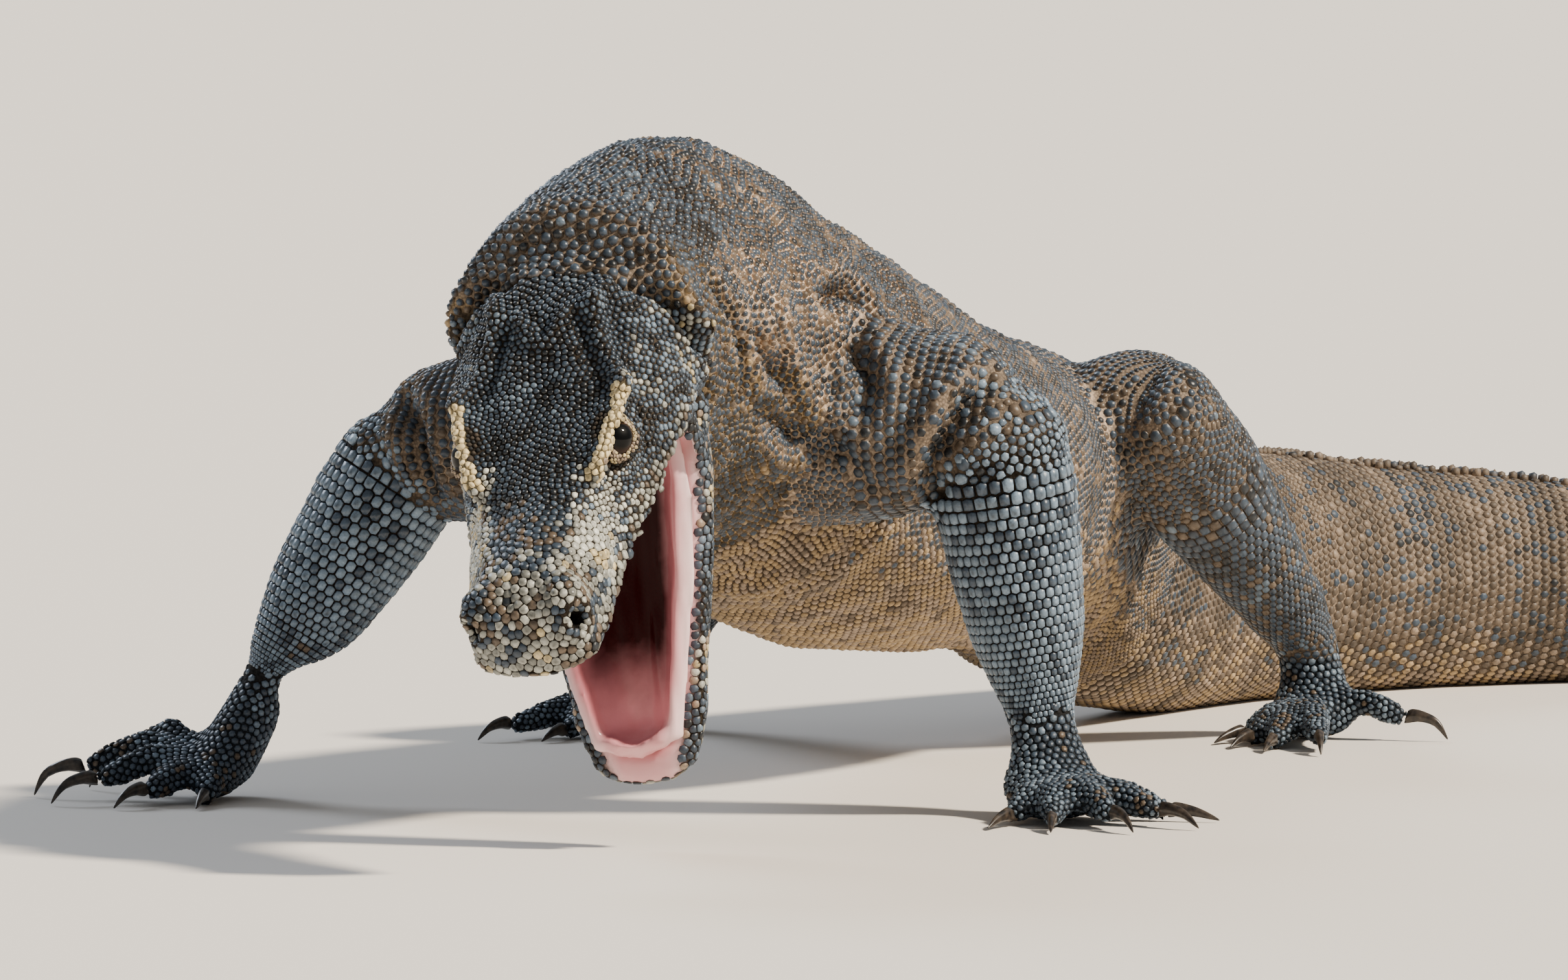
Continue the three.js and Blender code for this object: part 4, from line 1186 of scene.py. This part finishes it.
class KOMODO_OT_hide(PieceOperator, bpy.types.Operator):
    """Makes the whole animal's skin as one piece, with its folds, lids and muscle"""

    bl_idname = "komodo.hide"
    bl_label = "Hide"

    def execute(self, context):
        look = context.scene.komodo_hide
        mesh = build_hide(look)
        mesh.name = "hide"
        co, normal = mesh_arrays(mesh)
        labels = values_of(mesh.attributes["region"].data, "value", 1, np.int32)
        wet = np.repeat(inside_mouth(co, normal, labels)[:, None], 3, axis=1)
        wet = relaxed(wet, edge_pairs(mesh), np.ones(len(co)), 1, hold=0.5)[:, 0]
        skin, _ = ground_colours(look, co, normal, labels)
        paint = skin * (1 - wet[:, None]) + mouth_paint(look, co, labels == HEAD) * wet[:, None]
        # Painted shade in the ear's hollow and the nostril's hole: the skin's colour there is darkened down
        # to a tenth.
        half = in_half_head(co)
        hollow_shade = blend_step(ear_distance(half), 0.6, 1.2)
        hollow_shade = np.minimum(hollow_shade, blend_step(nostril_distance(half), 3.0, 5.0))
        keep_values(mesh, "paint", paint * (0.1 + 0.9 * hollow_shade)[:, None])
        keep_values(mesh, "wet", wet)
        piece = add_piece("hide", mesh, "hide_dark", hide_finish())
        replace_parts(piece, *HIDE_NODES)
        return {"FINISHED"}


def spine_place(index):
    """The step along the spine's line that is nearest to one of its given points."""
    return step_near(SPINE_LINE, SPINE[index])


class KOMODO_OT_body_scales(PieceOperator, bpy.types.Operator):
    """Packs scales over the neck, and lays them in rows round the trunk and tail"""

    bl_idname = "komodo.body_scales"
    bl_label = "Body scales"

    def execute(self, context):
        look = context.scene.komodo_hide
        hide = self.hide()
        neck_end, tail_start = spine_place(4) + 10, spine_place(8)
        trunk = {
            "line": SPINE_LINE, "up": Z, "start": neck_end, "end": tail_start, "pitch": look.trunk_pitch,
            "stretch": 0.92, "labels": [NECK, TRUNK, *TAIL],
        }

        def run_along(points):
            return distance_to_line(points, SPINE_LINE)[1]

        def size(points):
            return look.trunk_pitch + (look.neck_pitch - look.trunk_pitch) * on_nape(points)

        packed_coat(
            hide, "neck", "hide_dark", look, [NECK, TRUNK], size, lambda points: run_along(points) < neck_end,
            SPINE_LINE[[5, neck_end]], (0.1, 0.8, 0.3), 0.44, 0.97, 11, corners=6,
        )
        rows_coat(hide, "trunk", "hide_trunk", look, [trunk], 0.28, 0.97, 12)
        cuts = [tail_start, *(spine_place(index) for index in (10, 12, 14, 15, 16)), len(SPINE_LINE) - 3]
        widths = [4.6, 4.8, 4.6, 4.2, 3.8, 3.6]
        tail = [
            dict(trunk, start=start, end=end, pitch=width * MM, stretch=1.45, labels=[TRUNK, *TAIL])
            for start, end, width in zip(cuts, cuts[1:], widths)
        ]
        rows_coat(hide, "tail", "hide_tail", look, tail, 0.26, 0.96, 13, flat=0.6)
        return {"FINISHED"}


class KOMODO_OT_limb_scales(PieceOperator, bpy.types.Operator):
    """Lays rows of scales on the upper limbs, and flatter plates on the lower ones"""

    bl_idname = "komodo.limb_scales"
    bl_label = "Limb scales"

    def execute(self, context):
        look = context.scene.komodo_hide
        hide = self.hide()
        upper, lower = [], []
        for limb, joints in LIMBS.items():
            root, bend, wrist, _ = part_points(joints)
            side = limb.split("_")[1]
            high, low, _ = limb_parts(limb)
            first = smooth_path([root, (root + bend) / 2, root + 1.16 * (bend - root)])
            second = smooth_path([bend - 0.16 * (wrist - bend), (bend + wrist) / 2, wrist])
            upper.append({
                "line": first, "up": Z, "start": 12, "end": len(first) - 2,
                "pitch": (5.2 if high == "upper_arm" else 5.6) * MM,
                "stretch": 1.0, "labels": [HIDE_NODES.index(f"{high}_{side}")], "reach": 0.12,
            })
            lower.append({
                "line": second, "up": -Y, "start": 2, "end": len(second) - 2, "pitch": 5.2 * MM,
                "stretch": 1.05, "labels": [HIDE_NODES.index(f"{low}_{side}")], "reach": 0.1, "drift": 0.47,
                "ragged": 12,
            })
        rows_coat(hide, "upper_limbs", "hide_dark", look, upper, 0.32, 0.97, 21, flat=0.3)
        rows_coat(hide, "lower_limbs", "hide_dark", look, lower, 0.34, 0.99, 22, flat=0.55, corners=8)
        return {"FINISHED"}


def face_scale_size(points):
    """How wide a scale of the head is at each point, in metres."""
    half = in_half_head(points)
    _, forward, up = half.T
    size = np.where(forward < 24, 4.1, 3.7)
    size = size + (4.9 - size) * blend_step(forward, 140, 172)
    size = np.where((up < 10) & (forward > 50), 4.8, size)
    near_eye = np.linalg.norm(half - [EYE_OUT + 5, EYE_FORWARD, EYE_UP], axis=1)
    size = size * (0.52 + 0.48 * blend_step(near_eye, 12, 24))
    size = size * (0.62 + 0.38 * blend_step(nostril_distance(half), 6, 12))
    return np.where(brow_distance(half) < 5, 4.2, size) * MM


def face_flatness(points):
    """How flat a scale of the head is at each point: a bead on the crown, a plate on the muzzle."""
    half = in_half_head(points)
    plates = np.maximum(blend_step(brow_distance(half), 6.0, 4.5), 0.8 * (lid_share(half) < 2.0))
    return 0.1 + 0.9 * np.maximum(plates, blend_step(half[:, 1], 125, 160))


def holds_head_scale(points):
    half = in_half_head(points)
    return (lid_share(half) > 1.16) & (ear_distance(half) > 0.7) & (nostril_distance(half) > 4.4)


class KOMODO_OT_head_scales(PieceOperator, bpy.types.Operator):
    """Packs small scales over the head and the lower jaw"""

    bl_idname = "komodo.head_scales"
    bl_label = "Head scales"

    def execute(self, context):
        look = context.scene.komodo_hide
        hide = self.hide()
        head_axis = head_points([(0, -30, 20), (0, 220, 20)])
        packed_coat(
            hide, "head", "hide_dark", look, [HEAD], face_scale_size, holds_head_scale, head_axis,
            HEAD_FORWARD, 0.34, 0.985, 31, flat=face_flatness,
        )
        jaw_axis = [JAW_ORIGIN, JAW_ORIGIN + JAW_FORWARD * 0.2]
        packed_coat(
            hide, "jaw", "hide_dark", look, [JAW, *WEBS], lambda points: np.full(len(points), 3.9 * MM),
            lambda points: np.ones(len(points), bool), jaw_axis, JAW_FORWARD, 0.26, 0.98, 32, flat=0.8,
        )
        return {"FINISHED"}


def clear_of_floor(points):
    return points[:, 2] > 0.0012


class KOMODO_OT_paw_scales(PieceOperator, bpy.types.Operator):
    """Packs small scales over the hands and feet"""

    bl_idname = "komodo.paw_scales"
    bl_label = "Paw scales"

    def execute(self, context):
        look = context.scene.komodo_hide
        hide = self.hide()
        for index, name in enumerate(("hand_left", "hand_right", "foot_left", "foot_right")):
            middle = middle_of(name)
            packed_coat(
                hide, name, "hide_dark", look, [HIDE_NODES.index(name)],
                lambda points: np.where(points[:, 2] < 0.02, 3.8, 4.4) * MM, clear_of_floor,
                [middle, middle + [0.05, -0.05, 0.0]], -Y, 0.26, 0.97, 41 + index, corners=6, flat=0.4,
            )
        return {"FINISHED"}


class KOMODO_OT_gap_scales(PieceOperator, bpy.types.Operator):
    """Fills the bare skin left between the other scales, in the creases where the limbs meet the trunk"""

    bl_idname = "komodo.gap_scales"
    bl_label = "Gap scales"

    def execute(self, context):
        look = context.scene.komodo_hide
        hide = self.hide()
        placed = [mesh_arrays(o.data)[0] for o in context.scene.objects if o.name.startswith("scales_")]
        tree = point_tree(np.concatenate(placed))

        def bare(points):
            clear = np.array([tree.find(point)[2] for point in points]) > 0.0018
            return clear & holds_head_scale(points) & clear_of_floor(points)

        bends = part_points([joints[1] for joints in LIMBS.values()])

        def size(points):
            near = np.linalg.norm(points[:, None] - bends[None], axis=2).min(axis=1)
            return (3.6 + 1.4 * blend_step(near, 0.1, 0.07)) * MM

        packed_coat(
            hide, "gaps", "hide_dark", look, range(len(HIDE_NODES)), size, bare, SPINE_LINE[[0, -1]],
            (0.1, 0.8, 0.3), 0.3, 0.97, 51, corners=6, flat=0.3, walls=tree,
        )
        return {"FINISHED"}


class KOMODO_OT_eyes(PieceOperator, bpy.types.Operator):
    """Turns the eyeballs, each with the bulge of its clear front"""

    bl_idname = "komodo.eyes"
    bl_label = "Eyes"

    def execute(self, context):
        for name, side in (("eye_left", 1), ("eye_right", -1)):
            bm = bmesh.new()
            bmesh.ops.create_uvsphere(bm, u_segments=48, v_segments=32, radius=EYE_RADIUS * MM)
            for vert in bm.verts:
                out = vert.co.normalized().z
                vert.co.z += 0.0006 * blend_step(out, 0.72, 0.95)
            look_way = Vector(np.array([EYE_LOOK[0] * side, EYE_LOOK[1], EYE_LOOK[2]]) @ HEAD_AXES)
            turn = look_way.to_track_quat("Z", "Y").to_matrix().to_4x4()
            from_pupil = [math.acos(max(-1, min(1, v.co.normalized().z))) for v in bm.verts]
            bmesh.ops.transform(bm, matrix=Matrix.Translation(Vector(middle_of(name))) @ turn, verts=bm.verts)
            mesh = bpy.data.meshes.new(f"{name}_ball")
            bm.to_mesh(mesh)
            bm.free()
            keep_values(mesh, "from_pupil", from_pupil)
            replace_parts(add_piece(f"{name}_ball", mesh, "eye", eye_finish()), name)
        return {"FINISHED"}


class KOMODO_OT_claws(PieceOperator, bpy.types.Operator):
    """Rounds the claws of each paw"""

    bl_idname = "komodo.claws"
    bl_label = "Claws"

    def execute(self, context):
        for paw in ("hand_left", "hand_right", "foot_left", "foot_right"):
            names = [f"claw_{paw}_{number}" for number in range(1, 6)]
            bm = merged_copy(names)
            mesh = bpy.data.meshes.new(f"claws_{paw}")
            bm.to_mesh(mesh)
            bm.free()
            piece = add_piece(f"claws_{paw}", mesh, "claw", horn_finish())
            rounding = piece.modifiers.new("rounding", "SUBSURF")
            rounding.levels = rounding.render_levels = 2
            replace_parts(piece, *names)
        return {"FINISHED"}


class KOMODO_OT_mouth(PieceOperator, bpy.types.Operator):
    """Smooths the wet lining of the lower jaw"""

    bl_idname = "komodo.mouth"
    bl_label = "Mouth"

    def execute(self, context):
        look = context.scene.komodo_hide
        mesh = remeshed(merged_copy(["mouth_lining"]), 0.0025)
        mesh.name = "mouth_lining_flesh"
        co, normal = mesh_arrays(mesh)
        co = relaxed(co, edge_pairs(mesh), np.full(len(co), 0.8), 10)
        write_places(mesh, co + normal * (mouth_folds(co) - 0.9)[:, None] * MM)
        keep_values(mesh, "paint", mouth_paint(look, co, np.zeros(len(co), bool)))
        keep_values(mesh, "wet", np.ones(len(co)))
        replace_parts(add_piece("mouth_lining_flesh", mesh, "mouth", hide_finish()), "mouth_lining")
        return {"FINISHED"}


CAMERA_PLACE = (0, -5000, 490)  # in the part's millimetres
CAMERA_PITCH = math.atan(963 / 16000)
CAMERA_LENS = 16000 / 2420 * 36


class KOMODO_OT_stage(PieceOperator, bpy.types.Operator):
    """Sets the camera, the floor and the light"""

    bl_idname = "komodo.stage"
    bl_label = "Stage"

    def execute(self, context):
        scene = context.scene
        look = scene.komodo_stage
        camera = bpy.data.objects.new("camera", bpy.data.cameras.new("camera"))
        scene.collection.objects.link(camera)
        camera.location = Vector(part_points([CAMERA_PLACE])[0])
        camera.rotation_euler = (math.pi / 2 - CAMERA_PITCH, 0, 0)
        camera.data.lens = CAMERA_LENS
        camera.data.sensor_width = 36
        camera.data.clip_start, camera.data.clip_end = 0.1, 500
        scene.camera = camera
        bm = bmesh.new()
        bmesh.ops.create_circle(bm, cap_ends=True, segments=96, radius=120)
        mesh = bpy.data.meshes.new("floor")
        bm.to_mesh(mesh)
        bm.free()
        mesh.materials.append(floor_finish(look))
        floor = bpy.data.objects.new("floor", mesh)
        scene.collection.objects.link(floor)
        self.lamp(scene, "key_light", Vector((0.8, -0.22, 0.82)), 6, look.key, colour("fff1dd"))
        self.lamp(scene, "rim_light", Vector((-0.5, 0.75, 0.6)), 25, look.key * 0.22, colour("e6f0ff"))
        world = bpy.data.worlds.new("studio")
        world.use_nodes = True
        world.node_tree.nodes["Background"].inputs["Color"].default_value = (*colour("e3e8ee"), 1)
        world.node_tree.nodes["Background"].inputs["Strength"].default_value = look.sky
        scene.world = world
        return {"FINISHED"}

    @staticmethod
    def lamp(scene, name, way, spread, strength, tint):
        """A far soft lamp. way points from the animal to it, and spread is its width in degrees."""
        lamp = bpy.data.objects.new(name, bpy.data.lights.new(name, "SUN"))
        scene.collection.objects.link(lamp)
        lamp.data.angle = math.radians(spread)
        lamp.data.energy = strength
        lamp.data.color = tint
        lamp.location = way * 4
        lamp.rotation_euler = way.to_track_quat("Z", "Y").to_euler()


class KOMODO_PT_panel(bpy.types.Panel):
    """Lists what the add-on can make"""

    bl_idname = "KOMODO_PT_panel"
    bl_label = "Komodo Dragon"
    bl_space_type = "VIEW_3D"
    bl_region_type = "UI"
    bl_category = "Komodo"

    def draw(self, context):
        for operator in OPERATORS:
            self.layout.operator(operator.bl_idname)
        for settings in (context.scene.komodo_hide, context.scene.komodo_stage):
            box = self.layout.box()
            for name in settings.__annotations__:
                box.prop(settings, name)


OPERATORS = (
    KOMODO_OT_stage, KOMODO_OT_hide, KOMODO_OT_head_scales, KOMODO_OT_body_scales, KOMODO_OT_limb_scales,
    KOMODO_OT_paw_scales, KOMODO_OT_gap_scales, KOMODO_OT_eyes, KOMODO_OT_claws, KOMODO_OT_mouth,
)
CLASSES = (KomodoHide, KomodoStage, *OPERATORS, KOMODO_PT_panel)


def register():
    for kind in CLASSES:
        bpy.utils.register_class(kind)
    bpy.types.Scene.komodo_hide = bpy.props.PointerProperty(type=KomodoHide)
    bpy.types.Scene.komodo_stage = bpy.props.PointerProperty(type=KomodoStage)


def unregister():
    del bpy.types.Scene.komodo_stage
    del bpy.types.Scene.komodo_hide
    for kind in reversed(CLASSES):
        bpy.utils.unregister_class(kind)


def main():
    register()
    for operator in OPERATORS:
        category, name = operator.bl_idname.split(".")
        getattr(getattr(bpy.ops, category), name)()


if __name__ == "__main__":
    main()
